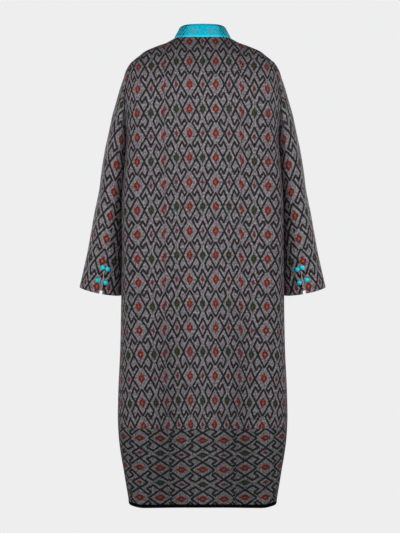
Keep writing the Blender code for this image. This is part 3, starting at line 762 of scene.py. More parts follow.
def plan_arc(points):
    """Distance round the body from the centre back to each point, level or at its reference."""
    height = np.minimum(points[..., 2], UPRIGHT_BELOW)
    width = BODY.at("half_width", height)
    across = np.clip(np.abs(points[..., 0]) / width, 0, 1)
    behind = points[..., 1] > 0
    away = depth_at(height, behind) * left_of(across, BODY.at("power", height))
    straight_up = np.arctan2(across * width, np.where(behind, away, -away))
    end = np.where(points[..., 2] > UPRIGHT_BELOW, straight_up, np.abs(body_angle(points)))
    path = body_point(end[..., None] * np.linspace(0, 1, ARC_POINTS), height[..., None])
    return np.linalg.norm(np.diff(path, axis=-2), axis=-1).sum(axis=-1)


def row_at(points, shift):
    """Row of motifs by the height up the cloth, which leans over towards the shoulder."""
    across, height = np.abs(points[..., 0]), points[..., 2]
    level = np.full_like(height, UPRIGHT_BELOW)
    share = left_of(across / BODY.at("half_width", level), BODY.at("power", level))
    away = depth_at(level, points[..., 1] > 0) * share
    lean = np.hypot(height - UPRIGHT_BELOW, np.abs(points[..., 1]) - away)
    height = np.where(height > UPRIGHT_BELOW, UPRIGHT_BELOW + lean, height)
    sag = ROW_SAG * np.exp(-(((height - ROW_SAG_Z) / ROW_SAG_REACH) ** 2))
    sag = sag - NECK_RISE * np.clip(1 - height / NECK_RISE_Z, 0, 0.5) * 2
    return LAST_ROW - (height + shift + sag - BAND_TOP_Z - LAST_ROW_ABOVE_BAND) / ROW


def seam_arc(points):
    """Distance round the body from the centre back to the panel seam, level with each row."""
    level = np.minimum(points[..., 2].mean(axis=1, keepdims=True), UPRIGHT_BELOW)
    return plan_arc(body_point(seam_angle(level, 0.0), level))


def chart_centre(points):
    columns = CENTRE_COLUMNS * plan_arc(points) / seam_arc(points)
    return stacked(1 + np.sign(points[..., 0]) * columns, row_at(points, 0.0))


def chart_side(points):
    away = plan_arc(points) - seam_arc(points)
    height = points[..., 2].mean(axis=1)
    *steps, shift = (SIDE_STEPS.at(name, height) for name in SIDE_STEPS.names[1:])
    places = np.cumsum(steps + [np.full(len(height), COLUMN)] * FURTHER_COLUMNS, axis=0)
    columns = np.array([np.interp(row, [0.0, *at], SEAM_COLUMN + np.arange(len(at) + 1))
                        for row, at in zip(away, places.T)])
    columns = np.where(away < 0, SEAM_COLUMN + away / places[0][:, None], columns)
    low = np.clip((SIDE_DROOP_Z - height) / SIDE_DROOP_REACH, 0, 1)[:, None]
    droop = SIDE_DROOP * low * np.clip(columns - SIDE_DROOP_COLUMN, 0, SIDE_DROOP_COLUMNS)
    return stacked(columns, row_at(points, shift[:, None] + droop))


def chart_front(points):
    middle = body_point(pi, np.minimum(points[..., 2], UPRIGHT_BELOW))
    columns = (plan_arc(middle) - plan_arc(points)) / COLUMN - FRONT_EDGE_COLUMN
    return stacked(columns, row_at(points, FRONT_SHIFT))


def chart_band(points, shift=0.0):
    """Chart of the band, whose cloth is turned a quarter."""
    columns = (BAND_FIRST_RED - points[..., 2] + shift) / BAND_COLUMN
    rows = np.sign(points[..., 0]) * plan_arc(points) / BAND_ROW
    return stacked(columns, rows)


def chart_side_band(points):
    return chart_band(points, BAND_SIDE_SHIFT)


def chart_top_sleeve(out, from_cuff):
    """Chart by distance outwards from the back seam and distance from the cuff."""
    red, spacing, drop = (SLEEVE_MOTIFS.straight(name, from_cuff)[:, None]
                          for name in ("red", "spacing", "drop"))
    near = (out - red) / spacing
    columns = np.where(near < 1, near, 1 + (out - red - spacing) / OUTER_SPACING)
    level = from_cuff[:, None] + drop * np.clip(near, *DROP_SPAN)
    return stacked(columns, SLEEVE_MOTIFS.straight("row", level))


def chart_under_sleeve(inwards, from_cuff):
    """Chart by distance inwards from the back seam and distance from the cuff."""
    row, green, spacing = (UNDER_MOTIFS.straight(name, from_cuff)[:, None]
                           for name in ("row", "green", "spacing"))
    columns = 1 + (inwards - green) / spacing
    return stacked(columns, np.broadcast_to(row, columns.shape))


# ---- shells ----

def waves(place, seed):
    """Uneven waves along a seam."""
    out = np.zeros_like(place)
    middle, swing, turn = WAVE_SWELL
    for number, (length, height, swell) in enumerate(PUCKER_WAVES):
        phase = seed * (WAVE_PHASE + number)
        beat = middle + swing * np.sin(2 * pi * place / swell + turn * phase)
        out += height * beat * np.sin(2 * pi * place / length + phase)
    return out


def faces_of(points, normal, edges, free=1.0, out=0.0):
    """Outer and inner face of cloth whose edges roll in and pucker. edges holds a seed for the
    top, bottom, first and last edge, or 0 where there is no seam."""
    across, down = distances(points, 1), distances(points)
    away = (down, down[-1:] - down, across, across[:, -1:] - across)
    round_it = body_angle(points) * ROUND_SCALE
    place = (round_it, round_it, points[..., 2], points[..., 2])
    roll, pucker = np.zeros(down.shape), np.zeros(down.shape)
    for distance, along, seed in zip(away, place, edges):
        roll = np.maximum(roll, ROLL * np.exp(-((distance / ROLL_REACH) ** 2)))
        if seed:
            pucker += PUCKER * np.exp(-distance / PUCKER_REACH) * waves(along, seed)
    shifts = out + (free * pucker - roll), out + (free * pucker + INNER_ROLL * roll) - SHELL
    return [points + shift[..., None] * normal for shift in shifts]


def placed(name, data):
    """New object in the scene."""
    made = bpy.data.objects.new(name, data)
    bpy.context.scene.collection.objects.link(made)
    return made


def mesh_object(name, points, faces, material, chart=None):
    """Closed mesh object with its faces pointing out."""
    mesh = bpy.data.meshes.new(name)
    mesh.from_pydata(points.tolist(), [], faces)
    work = bmesh.new()
    work.from_mesh(mesh)
    bmesh.ops.recalc_face_normals(work, faces=work.faces)
    work.to_mesh(mesh)
    work.free()
    if chart is not None:
        corners = np.empty(len(mesh.loops), dtype=np.int32)
        mesh.loops.foreach_get("vertex_index", corners)
        layer = mesh.uv_layers.new(name=CHART)
        layer.data.foreach_set("uv", chart[corners].astype(np.float32).ravel())
    mesh.materials.append(material)
    mesh.shade_smooth()
    return placed(name, mesh)


def dress(piece, node):
    """Puts a piece in the place of its CAD node."""
    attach(piece, "root")
    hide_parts(node)


def cloth_piece(node, faces, chart, finish, slot, ending="_cloth"):
    """Cloth between two faces, closed round its edge, in the place of a CAD node."""
    outer, inner = faces
    rows, columns = outer.shape[:2]
    index = np.arange(rows * columns).reshape(rows, columns)
    corners = (index[:-1, :-1], index[:-1, 1:], index[1:, 1:], index[1:, :-1])
    face = stacked(*(corner.ravel() for corner in corners))
    behind = face[:, ::-1] + rows * columns
    edge = joined(index[0], index[1:, -1], index[-1, -2::-1], index[-2:0:-1, 0])
    after = np.roll(edge, -1)
    rim = stacked(edge, edge + rows * columns, after + rows * columns, after)
    points = joined(outer.reshape(-1, 3), inner.reshape(-1, 3))
    piece = mesh_object(node + ending, points, joined(face, behind, rim).tolist(),
                        finish, np.tile(chart.reshape(-1, 2), (2, 1)))
    dress(piece, node)


# ---- materials ----

def srgb(red, green, blue):
    """Linear colour with full alpha from 0 to 255 display values."""
    shares = (value / 255 for value in (red, green, blue))
    return *(v / 12.92 if v <= 0.04045 else ((v + 0.055) / 1.055) ** 2.4 for v in shares), 1.0


class Value:
    """What a node gives, for use in sums."""

    def __init__(self, graph, socket):
        self.graph, self.socket = graph, socket

    def __add__(self, other):
        return self.graph.math("ADD", self, other)

    def __sub__(self, other):
        return self.graph.math("SUBTRACT", self, other)

    def __rsub__(self, other):
        return self.graph.math("SUBTRACT", other, self)

    def __mul__(self, other):
        return self.graph.math("MULTIPLY", self, other)

    def __truediv__(self, other):
        return self.graph.math("DIVIDE", self, other)

    def __abs__(self):
        return self.graph.math("ABSOLUTE", self)


class Graph:
    """One material's nodes, built by short calls."""

    def __init__(self, name, roughness, sheen=0.0, specular=0.12):
        self.material = bpy.data.materials.new(name)
        self.material.use_nodes = True
        self.tree = self.material.node_tree
        self.shader = self.tree.nodes["Principled BSDF"]
        looks = {"Roughness": roughness, "Sheen Weight": sheen, "Sheen Roughness": 0.45,
                 "Specular IOR Level": specular}
        for place, value in looks.items():
            self.shader.inputs[place].default_value = value

    def node(self, kind, inputs, output=0, **settings):
        made = self.tree.nodes.new("ShaderNode" + kind)
        for name, value in settings.items():
            setattr(made, name, value)
        for place, value in inputs.items():
            if isinstance(value, Value):
                self.tree.links.new(value.socket, made.inputs[place])
            else:
                made.inputs[place].default_value = value
        return Value(self, made.outputs[output])

    def math(self, operation, *values, clamp=False):
        return self.node("Math", dict(enumerate(values)), operation=operation, use_clamp=clamp)

    def vector(self, operation, *values, output=0):
        return self.node("VectorMath", dict(enumerate(values)), output, operation=operation)

    def scaled(self, vector, share):
        return self.node("VectorMath", {0: vector, "Scale": share}, operation="SCALE")

    def combined(self, *parts):
        return self.node("CombineXYZ", dict(enumerate(parts)))

    def split(self, kind, output=0, **settings):
        """X, Y and Z of a node's vector."""
        made = self.node("SeparateXYZ", {0: self.node(kind, {}, output, **settings)})
        return [Value(self, socket) for socket in made.socket.node.outputs]

    def step(self, value, low, high):
        """Smooth rise from 0 at low to 1 at high."""
        inputs = {"Value": value, "From Min": low, "From Max": high}
        return self.node("MapRange", inputs, interpolation_type="SMOOTHSTEP")

    def ranged(self, value, low, high):
        """Value from 0 to 1 brought between low and high."""
        return self.node("MapRange", {"Value": value, "To Min": low, "To Max": high})

    def mixed(self, share, first, second):
        return self.node("Mix", {0: share, 6: first, 7: second}, 2, data_type="RGBA")

    def noise(self, place, detail=2.0, scale=1.0):
        return self.node("TexNoise", {"Vector": place, "Scale": scale, "Detail": detail})

    def grain(self, across, along, size, seed=0.0, detail=1.0):
        """Noise of a size across and along the cloth."""
        return self.noise(self.combined(across / size[0], along / size[1], seed), detail)

    def finish(self, colour, height, distance, strength=0.5):
        """The material, with a colour and a relief."""
        inputs = {"Strength": strength, "Distance": distance, "Height": height}
        for value, place in ((colour, "Base Color"), (self.node("Bump", inputs), "Normal")):
            self.tree.links.new(value.socket, self.shader.inputs[place])
        return self.material


# The black line of the repeat, from point to point, between a red column at 0 and a green one at 1,
# and a row A at 0 and B at 1
LINE = ((0.03, 0.53), (0.51, 0.02), (0.83, 0.34), (0.60, 0.66), (0.38, 0.44), (0.21, 0.58),
        (0.66, 1.00), (1.00, 0.60))
# Millimetres, as every length in the nodes of the ikat and the collar
COLUMN_MM = COLUMN * 1000
ROW_MM = ROW * 1000
LINE_WIDTH = 5.5
LINE_SOFTNESS = 0.8
LINE_UNEVEN, LINE_GRAIN = 2.4, ((9.0, 14.0), 7.0, 2.0)  # a grain has a size, a seed and detail
BUNDLE = 1.3  # warp threads dyed together
BUNDLE_STEP = 0.83  # from one bundle to the next in the noise that shifts them
SLIP, SLIP_LENGTH = 4.8, 38.0  # of the bundles along the warp
WANDER, WANDER_GRAIN = 3.0, ((60.0, 90.0), 3.0)  # of the columns
THREAD = 0.75
WEFT = 1.9
WEFT_SHADE, WEFT_GRAIN = 0.58, ((45.0, WEFT), 5.0, 0.0)
WEFT_STEP, WEFT_SEEN_STEP = (0.935, 0.945), (0.5, 0.62)
FINE_SHADE = (0.60, 1.40)
BLOTCH_SHADE, BLOTCH_GRAIN, BLOTCH_STEP = (0.46, 1.54), ((4.4, 5.6), 1.0, 2.0), (0.30, 0.70)
HUES = ((1.15, 0.97, 0.94, 1.0), (0.86, 1.02, 1.09, 1.0))
HUE_GRAIN, HUE_STEP = ((4.2, 4.8), 9.0), (0.3, 0.7)

# Lozenges of the repeat, in the order they are dyed: their column and row, where None is both, half
# width, half height and colour
LOZENGES = (
    (0, None, 8.2, 15.4, srgb(110, 40, 43)),
    (0, None, 2.4, 5.8, srgb(140, 84, 32)),
    (1, 0, 7.6, 16.0, srgb(26, 58, 36)),
    (1, 0, 2.8, 5.2, srgb(102, 40, 43)),
    (1, 1, 4.2, 8.9, srgb(110, 38, 42)),
)
# Width of a lozenge by height, in shares of the half width and half height
LOZENGE_PROFILE = ((0.0, 1.0), (0.26, 0.97), (0.44, 0.70), (0.60, 0.40), (0.88, 0.20), (1.0, 0.0))
LOZENGE_SOFTNESS = 0.35
GROUND = srgb(121, 117, 120)
PALE = srgb(143, 139, 142)  # beside the lines
PALE_SHARE = 0.35
PALE_REACH = (3.6, 0.6)
INK = srgb(38, 37, 38)
SHOULDER_PAINTED_SHADE = (-0.16, 0.01)  # painted shade below the collar: heights between which the cloth grows darker towards the top
# share of the cloth's colour left at the top under that painted shade
SHOULDER_SHADE_LEFT = 0.62
SEAM_PAINTED_SHADE = (0.07, 0.24)  # painted shade along the panel seams: share of light taken off there, high up and low down
SEAM_SHADE_GROWS = (-0.60, -0.98)
SEAM_SHADE_PLACE = 0.098
SEAM_SHADE_REACH = 0.078
LOWER_SLEEVE_PAINTED_LIGHT = (-0.30, -0.52)  # painted light: heights between which the sleeves' cloth grows paler


def segment_distance(g, place, start, end):
    """Distance from a place to a line between two points."""
    start, end = (np.array([x * COLUMN_MM, y * ROW_MM, 0.0]) for x, y in (start, end))
    along = end - start
    away = g.vector("SUBTRACT", place, tuple(start))
    share = g.math("MULTIPLY", g.vector("DOT_PRODUCT", away, tuple(along), output=1),
                   1 / float(along @ along), clamp=True)
    return g.vector("DISTANCE", away, g.scaled(tuple(along), share), output=1)


def lozenge(g, across, along, half_width, half_height):
    """1 inside a stepped lozenge, 0 outside it."""
    share = g.math("DIVIDE", along, half_height, clamp=True)
    width = g.node("FloatCurve", {"Value": share})
    mapping = width.socket.node.mapping
    curve = mapping.curves[0]
    for place in LOZENGE_PROFILE[1:-1]:
        curve.points.new(*place)
    curve.points[0].location = LOZENGE_PROFILE[0]
    curve.points[-1].location = LOZENGE_PROFILE[-1]
    for point in curve.points:
        point.handle_type = "VECTOR"
    mapping.update()
    return g.step(width * half_width - across, -LOZENGE_SOFTNESS, LOZENGE_SOFTNESS)


def ikat_cloth(name, cast, painted_light_gain=1.0, stretch=(1.0, 1.0)):
    """Grey cloth with black lines, red diamonds and green ones, its warp dyed before weaving; with
    painted shade below the collar and along the panel seams, and painted light low down by
    painted_light_gain.
    """
    g = Graph(name, roughness=0.75, sheen=0.02)
    column, row, _ = g.split("UVMap", uv_map=CHART)
    across, along = column * COLUMN_MM, row * ROW_MM
    bundle = g.math("FLOOR", across / BUNDLE)
    slip = g.noise(g.combined(bundle * BUNDLE_STEP, along / SLIP_LENGTH), 1.0)
    slipped = along + (slip - 0.5) * SLIP
    moved = across + (g.grain(across, along, *WANDER_GRAIN) - 0.5) * WANDER
    x, y = g.math("PINGPONG", moved, COLUMN_MM), g.math("PINGPONG", slipped, ROW_MM)

    place, near = g.combined(x, y), None
    for start, end in zip(LINE[:-1], LINE[1:]):
        distance = segment_distance(g, place, start, end)
        near = distance if near is None else g.math("MINIMUM", near, distance)
    near = near + (g.grain(across, along, *LINE_GRAIN) - 0.5) * LINE_UNEVEN
    edge = LINE_WIDTH / 2
    line = g.step(near, edge + LINE_SOFTNESS, edge - LINE_SOFTNESS)
    pale = g.step(near, *(edge + reach for reach in PALE_REACH))
    colour = g.mixed(pale * PALE_SHARE, GROUND, PALE)

    columns = {0: x, 1: COLUMN_MM - x}
    rows = {0: y, 1: ROW_MM - y, None: g.math("PINGPONG", slipped, ROW_MM / 2)}
    for at, level, half_width, half_height, dye in LOZENGES:
        inside = lozenge(g, columns[at], rows[level], half_width * stretch[0],
                         half_height * stretch[1])
        colour = g.mixed(inside, colour, dye)
    colour = g.mixed(line, colour, INK)

    threads = g.combined(g.math("FLOOR", across / THREAD), g.math("FLOOR", along / THREAD))
    fine = g.node("TexWhiteNoise", {0: threads}, noise_dimensions="2D")
    blotch = g.step(g.grain(across, along, *BLOTCH_GRAIN), *BLOTCH_STEP)
    weft = g.node("TexWhiteNoise", {1: g.math("FLOOR", along / WEFT)}, noise_dimensions="1D")
    seen = g.grain(across, along, *WEFT_GRAIN)
    weft = g.step(weft, *WEFT_STEP) * g.step(seen, *WEFT_SEEN_STEP)
    shade = g.ranged(fine, *FINE_SHADE) * g.ranged(blotch, *BLOTCH_SHADE)
    shade = shade * g.ranged(weft, 1.0, WEFT_SHADE)

    aside, _, height = g.split("TexCoord", "Object")
    # painted shade in a soft band along the panel seams, deeper low down
    seam_shade = g.step(abs(abs(aside) - SEAM_SHADE_PLACE), SEAM_SHADE_REACH, 0.0)
    seam_shade = seam_shade * g.ranged(g.step(height, *SEAM_SHADE_GROWS), *SEAM_PAINTED_SHADE)
    # painted shade on the shoulders, below the collar
    shade = shade * g.ranged(g.step(height, *SHOULDER_PAINTED_SHADE), 1.0, SHOULDER_SHADE_LEFT)
    # painted light that makes the sleeves paler low down, and the seams' painted shade
    shade = shade * g.ranged(g.step(height, *LOWER_SLEEVE_PAINTED_LIGHT), 1.0, painted_light_gain) * (1.0 - seam_shade)
    hue = g.mixed(g.step(g.grain(across, along, *HUE_GRAIN), *HUE_STEP), *HUES)
    colour = g.vector("MULTIPLY", g.vector("MULTIPLY", g.scaled(colour, shade), hue), cast)

    turn = 2 * pi / THREAD
    weave = g.math("COSINE", across * turn) * g.math("COSINE", along * turn)
    return g.finish(colour, weave, distance=0.00006)


# The collar's dyes and where they lie, round from the centre back and up from its base
COLLAR_DYES, DYE_STEP = (srgb(0, 152, 182), srgb(0, 200, 226)), (0.34, 0.60)
CLOUD_GRAIN, THREAD_GRAIN = ((6.0, 4.0), 0.0, 3.0), ((1.4, 1.1), 4.0, 2.0)
THREAD_SHADE = (0.80, 1.20)
FOOT_DYE, FOOT_HEIGHTS = srgb(0, 222, 246), (7.6, 3.6)
FADED, FADED_SHARE, FADED_STEP = srgb(112, 152, 168), 0.75, (0.40, 0.58)
FADED_ASIDE, FADED_UP = (29.0, 22.0, 6.0), (16.0, 12.0, 3.0)  # middle, reach, full within
STREAK, STREAK_SHARE = srgb(2, 58, 72), 0.88
STREAK_STEP, STREAK_EDGES = 5.2, (2.0, 3.6)
STREAK_STARTS, STREAK_ENDS = (44.0, 60.0), (132.0, 112.0)
STREAK_LEAN, STREAK_WANDER = 0.45, 11.0
STREAK_GRAIN, STREAK_SEEN_STEP = ((8.0, 7.0), 2.0), (0.26, 0.46)
RIM, RIM_HEIGHTS, RIM_WANDER = srgb(2, 62, 76), (34.0, 37.6), 4.0
RIM_SHARES, RIM_GROWS = (0.35, 0.92), (25.0, 70.0)


def collar_cloth():
    """Turquoise cloth with soft, faded marks, streaked where it turns to the sides."""
    g = Graph("collar_cloth", roughness=0.5, sheen=0.12, specular=0.2)
    around, up, _ = g.split("UVMap", uv_map=CHART)
    aside = abs(around)
    cloud = g.grain(around, up, *CLOUD_GRAIN)
    thread = g.grain(around, up, *THREAD_GRAIN)
    colour = g.mixed(g.step(cloud, *DYE_STEP), *COLLAR_DYES)
    faded = g.step(cloud, *FADED_STEP)
    for place, (middle, *reach) in ((aside, FADED_ASIDE), (up, FADED_UP)):
        faded = faded * g.step(abs(place - middle), *reach)
    streak = g.math("PINGPONG", aside + up * STREAK_LEAN + cloud * STREAK_WANDER, STREAK_STEP)
    streak = g.step(streak, *STREAK_EDGES)
    streak = streak * g.step(g.grain(around, up, *STREAK_GRAIN), *STREAK_SEEN_STEP)
    streak = streak * (g.step(aside, *STREAK_STARTS) * g.step(aside, *STREAK_ENDS))
    rim = g.step(up + cloud * RIM_WANDER, *RIM_HEIGHTS)
    rim = rim * g.ranged(g.step(aside, *RIM_GROWS), *RIM_SHARES)
    for share, dye in ((faded * FADED_SHARE, FADED), (g.step(up, *FOOT_HEIGHTS), FOOT_DYE),
                       (streak * STREAK_SHARE, STREAK), (rim, RIM)):
        colour = g.mixed(share, colour, dye)
    return g.finish(g.scaled(colour, g.ranged(thread, *THREAD_SHADE)), thread, distance=0.0002)


def plain_cloth(name, tint, roughness, scale=700.0, **looks):
    g = Graph(name, roughness=roughness, **looks)
    thread = g.noise(g.node("TexCoord", {}, "Object"), scale=scale)
    return g.finish(g.scaled(tint[:3], g.ranged(thread, 0.7, 1.3)), thread, distance=0.0003)


def button_finish():
    """Turquoise, glossy, with a greener cloud in it."""
    g = Graph("button", roughness=0.22, specular=0.5)
    cloud = g.noise(g.node("TexCoord", {}, "Object"), scale=150.0)
    colour = g.mixed(g.step(cloud, 0.52, 0.68), srgb(0, 230, 255), srgb(0, 160, 148))
    return g.finish(colour, cloud, distance=0.0001, strength=0.3)


# ---- pieces ----

body_finish = ikat_cloth("ikat_cloth", cast=(0.98, 0.98, 0.98))
# the sleeves' copy of the cloth, with painted light that makes it paler low down
sleeve_finish_painted_light = ikat_cloth("sleeve_cloth", cast=(0.98, 0.98, 0.98), painted_light_gain=1.15)
# the band's cloth darker and cooler: partly painted shade of the dimmer light low on the robe,
# partly the turned weave's own look
band_finish = ikat_cloth("hem_cloth", cast=(0.745, 0.775, 0.765), stretch=(0.86, 1.2))


def body_piece(node, outer, edges, chart, side=1):
    """Shell of the body or its band: its grid on the wearer's left, or mirrored to the right."""
    if side < 0:
        outer = mirrored(outer)
    out = creases(outer[..., 2], np.degrees(body_angle(outer)), BODY_CREASES)
    faces = [dipped(face) for face in faces_of(outer, body_normal(outer), edges, out=out)]
    looks = (band_finish, "hem_cloth") if node.startswith("hem") else (body_finish, "ikat_cloth")
    cloth_piece(node, faces, chart(outer), *looks)


def make_panels(names, grids, charts, *ends):
    """Pieces from the middle of the back round to both fronts. ends holds the seeds of the puckers
    at the top of the first and of the others and at the bottom."""
    centre_top, top, bottom = ends
    body_piece(names[0], whole(grids[0]), (centre_top, bottom, 1, 2), charts[0])
    for label, side in SIDES:
        seam, flank = (2, 3) if side > 0 else (1, 4)
        for k, edges in ((1, (top, bottom, seam, flank)), (2, (top, bottom, flank, 0))):
            body_piece(f"{names[k]}_{label}", grids[k], edges, charts[k], side)


def make_body():
    make_panels(("back_center", "back_side", "front"), (centre_back(), side_back(), front()),
                (chart_centre, chart_side, chart_front), 0, 5, 9)
    middle = edged(MIDDLE_COLUMNS, BACK_BAND_WIDTH, first=False)
    grids = (band(centre_angle, panel_seam(-MARGIN), middle),
             band(panel_seam(MARGIN), side_angle(1), edged(SIDE_COLUMNS, SIDE_BAND_WIDTH)),
             band(side_angle(-1), front_angle, edged(FRONT_COLUMNS, FRONT_BAND_WIDTH)))
    make_panels(("hem_band_back", "hem_band_side", "hem_band_front"), grids,
                (chart_band, chart_side_band, chart_band), 9, 9, 0)


def make_binding(finish):
    """Narrow strip folded over the hem's edge."""
    edges = (centre_angle, panel_seam(0.0), side_angle(0), front_angle)
    cells = (MIDDLE_COLUMNS, SIDE_COLUMNS, FRONT_COLUMNS)
    top = HEM_Z + BINDING_HEIGHT + BINDING_LAP
    down = edged(BINDING_ROWS, top - HEM_Z)
    heights = top + (HEM_Z - top) * down
    first, *others = (rows_between(*ends, np.linspace(0, 1, count + 1), heights)
                      for *ends, count in zip(edges[:-1], edges[1:], cells))
    middle = whole(joined(first, *(part[:, 1:] for part in others), axis=1))
    normal = body_normal(middle)
    down = (heights[0] - heights) / (heights[0] - heights[-1])
    bulge = np.clip(1 - (2 * down - 1) ** BINDING_BULGE, BINDING_LEAST, 1)
    plump = (BINDING_PROUD + SHELL / 2) * np.sqrt(bulge)
    centre, half = middle - SHELL / 2 * normal, plump[:, None, None] * normal
    chart = stacked(plan_arc(middle), middle[..., 2])
    cloth_piece("hem_binding", (dipped(centre + half), dipped(centre - half)), chart, finish,
                "binding", "_strip")


def make_collar(finish):
    """Stand collar, one shell from centre front right round to centre front."""
    half = joined(back_neck()[:-1], front_neck(np.linspace(0, 1, FRONT_NECK_COLUMNS + 1)))
    half[0, 0] = 0.0
    base = joined(half[:0:-1] * (-1, 1, 1), half) + (0, 0, SEAM_GAP)
    angle = np.degrees(np.abs(body_angle(base)))
    up = 1 - edged(COLLAR_ROWS, COLLAR_WIDTH)[:, None]
    outer = np.tile(base, (len(up), 1, 1))
    outer[..., :2] *= (1 - up * COLLAR.at("lean", angle))[..., None]
    outer[..., 2] += up * COLLAR.at("rise", angle)
    outer[:, (0, -1), 0] = -FRONT_GAP / 2, FRONT_GAP / 2
    normal = np.cross(np.gradient(outer, axis=1), np.gradient(outer, axis=0))
    normal[:, (0, -1), 0] = 0
    along = distances(base)
    chart = stacked(*np.broadcast_arrays(along - along[-1] / 2, COLLAR["rise"][0] * up))
    cloth_piece("collar", faces_of(outer, unit(normal), (0, 0, 0, 0)), 1000 * chart, finish,
                "collar_cloth", "_cloth_stand")


def make_sleeves():
    """Both sleeves; returns the left one's outer points, their normals and its seams."""
    grid, *way = sleeve_surface()
    normals = sleeve_normals(grid)
    sleeve_root(grid, normals)
    seams = seam, vent, gap, half_round, from_cuff = seam_shares(grid, *way)
    fore = np.full(len(grid), FRONT_SEAM)
    pieces = (
        ("top", fore + gap, seam - vent, edged(TOP_SLEEVE_COLUMNS, TOP_SLEEVE_WIDTH), -1,
         chart_top_sleeve),
        ("under", seam + vent, fore + 2 - gap, edged(UNDER_SLEEVE_COLUMNS, UNDER_SLEEVE_WIDTH), 1,
         chart_under_sleeve),
    )
    for part, first, last, shares, way, chart in pieces:
        outer = sleeve_columns(grid, first, last, shares)
        direction = unit(sleeve_columns(normals, first, last, shares))
        turn = first[:, None] + (last - first)[:, None] * shares
        away = way * (turn - seam[:, None]) * half_round[:, None]
        for label, side in SIDES:
            faces = faces_of(outer, direction, (0, 0, 6 + side, 7 + side), SLEEVE_PUCKER)
            cloth_piece(f"sleeve_{label}_{part}", [face * (side, 1, 1) for face in faces],
                        chart(away, from_cuff), sleeve_finish_painted_light, "ikat_cloth")
    return grid, normals, seams


def thread_tube(path, ways):
    """Points and faces of a round thread on the cloth, whose outward directions are given."""
    along = unit(np.gradient(path, axis=0))
    aside = unit(np.cross(along, ways))
    up = np.cross(aside, along)
    turns = np.linspace(0, 2 * pi, STITCH_SIDES, endpoint=False)[None, :, None]
    rings = np.cos(turns) * aside[:, None] + np.sin(turns) * up[:, None]
    last = (len(path) - 1) * STITCH_SIDES
    faces = [tuple(range(STITCH_SIDES)), tuple(range(last, last + STITCH_SIDES))]
    for low in range(0, last, STITCH_SIDES):
        for j in range(STITCH_SIDES):
            after, high = low + (j + 1) % STITCH_SIDES, low + STITCH_SIDES
            faces.append((low + j, after, after + STITCH_SIDES, high + j))
    return (path[:, None] + STITCH_RADIUS * rings).reshape(-1, 3), faces


def make_stitches(grid, normals, seams, finish):
    """Whip stitches across the vent of each cuff, from its head down to near its end."""
    seam, vent, _, half_round, from_cuff = seams
    count = round((STITCH_TOP - STITCH_END) / STITCH_STEP)
    legs = np.arange(count * STITCH_CUTS + 1) / STITCH_CUTS
    uneven = sum(size * np.sin(turn * np.round(legs) + phase)
                 for size, turn, phase in STITCH_UNEVEN)
    place = STITCH_TOP - STITCH_STEP * (legs + uneven)
    across = np.abs((legs + 1) % 2 - 1)

    def by_place(edge):
        return stacked(*(np.interp(-place, -from_cuff, values) for values in edge.T))

    path = ways = 0
    for way, share in ((-1, 1 - across[:, None]), (1, across[:, None])):
        at = seam + way * (vent + STITCH_BITE / half_round)
        edge, out = (sleeve_columns(values, at, at, np.zeros(1))[:, 0]
                     for values in (grid, normals))
        path, ways = path + share * by_place(edge), ways + share * by_place(out)
    low, more = STITCH_ARCH
    path = path + (STITCH_RADIUS * (low + more * np.sin(pi * across)))[:, None] * ways
    for label, side in SIDES:
        points, faces = thread_tube(path * (side, 1, 1), ways * (side, 1, 1))
        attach(mesh_object(f"vent_stitches_{label}", points, faces, finish), "root")


def seat_on(grid, normals, across, height):
    """Point of the sleeve's back at a place seen from behind, and the normal there."""
    behind = normals[..., 1] > FACES_BACK
    points, ways = grid[behind], normals[behind]
    nearest = np.argmin(np.hypot(points[:, 0] - across, points[:, 2] - height))
    point, way = points[nearest], ways[nearest]
    aside = np.array([across - point[0], 0.0, height - point[2]])
    return point + aside - np.array([0, (way @ aside) / way[1], 0]), way


def make_buttons(grid, normals, finish):
    """Domed buttons on the back of the cuff."""
    turns = np.linspace(0, 2 * pi, BUTTON_SIDES, endpoint=False)[:, None]
    foot = BUTTON_EDGE[-1][0]
    dome = [(foot + (1 - foot) * sin(a), cos(a)) for a in np.linspace(*BUTTON_DOME)]
    levels = [*BUTTON_EDGE, *dome]
    for number, (across, height) in enumerate(BUTTONS, 1):
        seat, up = seat_on(grid, normals, across, height)
        seat = seat + BUTTON_LIFT * up
        aside = unit(np.cross(up, (0, 0, 1)))
        spokes = np.cos(turns) * aside + np.sin(turns) * np.cross(up, aside)
        rings = [seat + lift * BUTTON_HEIGHT * up + share * BUTTON_RADIUS * spokes
                 for lift, share in levels]
        points = joined([seat], *rings, [seat + BUTTON_HEIGHT * up])
        last = 1 + (len(levels) - 1) * BUTTON_SIDES
        faces = []
        for j in range(BUTTON_SIDES):
            after = (j + 1) % BUTTON_SIDES
            faces.append((0, 1 + after, 1 + j))
            faces += [(low + j, low + after, low + after + BUTTON_SIDES, low + j + BUTTON_SIDES)
                      for low in range(1, last, BUTTON_SIDES)]
            faces.append((last + j, last + after, len(points) - 1))
        for label, side in SIDES:
            name, shape = f"button_dome_{label}_{number}", points * (side, 1, 1)
            dress(mesh_object(name, shape, faces, finish), f"button_{label}_{number}")


# ---- stage, light and camera ----

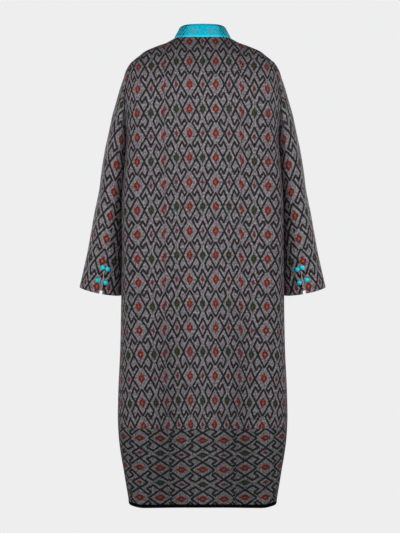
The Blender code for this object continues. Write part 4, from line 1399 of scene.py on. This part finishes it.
def glow(tree, target):
    """Even pale light for the camera's own view, and a dimmer one on the robe."""
    path, strength = (tree.nodes.new("ShaderNode" + kind) for kind in ("LightPath", "MapRange"))
    strength.inputs["To Min"].default_value = AMBIENT
    strength.inputs["To Max"].default_value = BACKGROUND
    tree.links.new(path.outputs["Is Camera Ray"], strength.inputs["Value"])
    tree.links.new(strength.outputs[0], target)


def make_stage():
    world = bpy.data.worlds.new("studio")
    bpy.context.scene.world = world
    world.use_nodes = True
    sky = world.node_tree.nodes["Background"]
    sky.inputs[0].default_value = WHITE
    glow(world.node_tree, sky.inputs[1])
    bpy.context.scene.view_settings.view_transform = "Standard"

    g = Graph("floor", roughness=0.5, specular=0.0)
    g.shader.inputs["Base Color"].default_value = (0.0, 0.0, 0.0, 1.0)
    g.shader.inputs["Emission Color"].default_value = WHITE
    glow(g.tree, g.shader.inputs["Emission Strength"])
    bpy.ops.mesh.primitive_circle_add(vertices=96, radius=40.0, fill_type="NGON",
                                      location=(0, 0, FLOOR_Z))
    floor = bpy.context.object
    floor.name = "floor"
    floor.data.materials.append(g.material)

    for name, places, side, power in LIGHTS:
        for x, y in places:
            light = bpy.data.lights.new(name, "AREA")
            light.shape, light.size, light.size_y = "RECTANGLE", side, side
            light.energy = power
            made = placed(name, light)
            made.location = (x, y, LIGHT_Z)
            made.visible_camera = False
            made.rotation_euler = (atan2(hypot(x, y), LIGHT_DROP), 0.0,
                                   atan2(-y, -x) - pi / 2)


def make_camera():
    camera = placed("camera", bpy.data.cameras.new("camera"))
    camera.location = CAMERA_PLACE
    camera.rotation_euler = (pi / 2, 0.0, pi)
    camera.data.lens = CAMERA_LENS
    camera.data.clip_end = 200.0
    bpy.context.scene.camera = camera


make_body()
make_binding(plain_cloth("binding", srgb(8, 8, 9), 0.9, specular=0.03))
make_collar(collar_cloth())
grid, normals, seams = make_sleeves()
make_buttons(grid, normals, button_finish())
thread = plain_cloth("thread", srgb(228, 212, 206), 0.6, scale=900.0, sheen=0.1)
make_stitches(grid, normals, seams, thread)
make_stage()
make_camera()
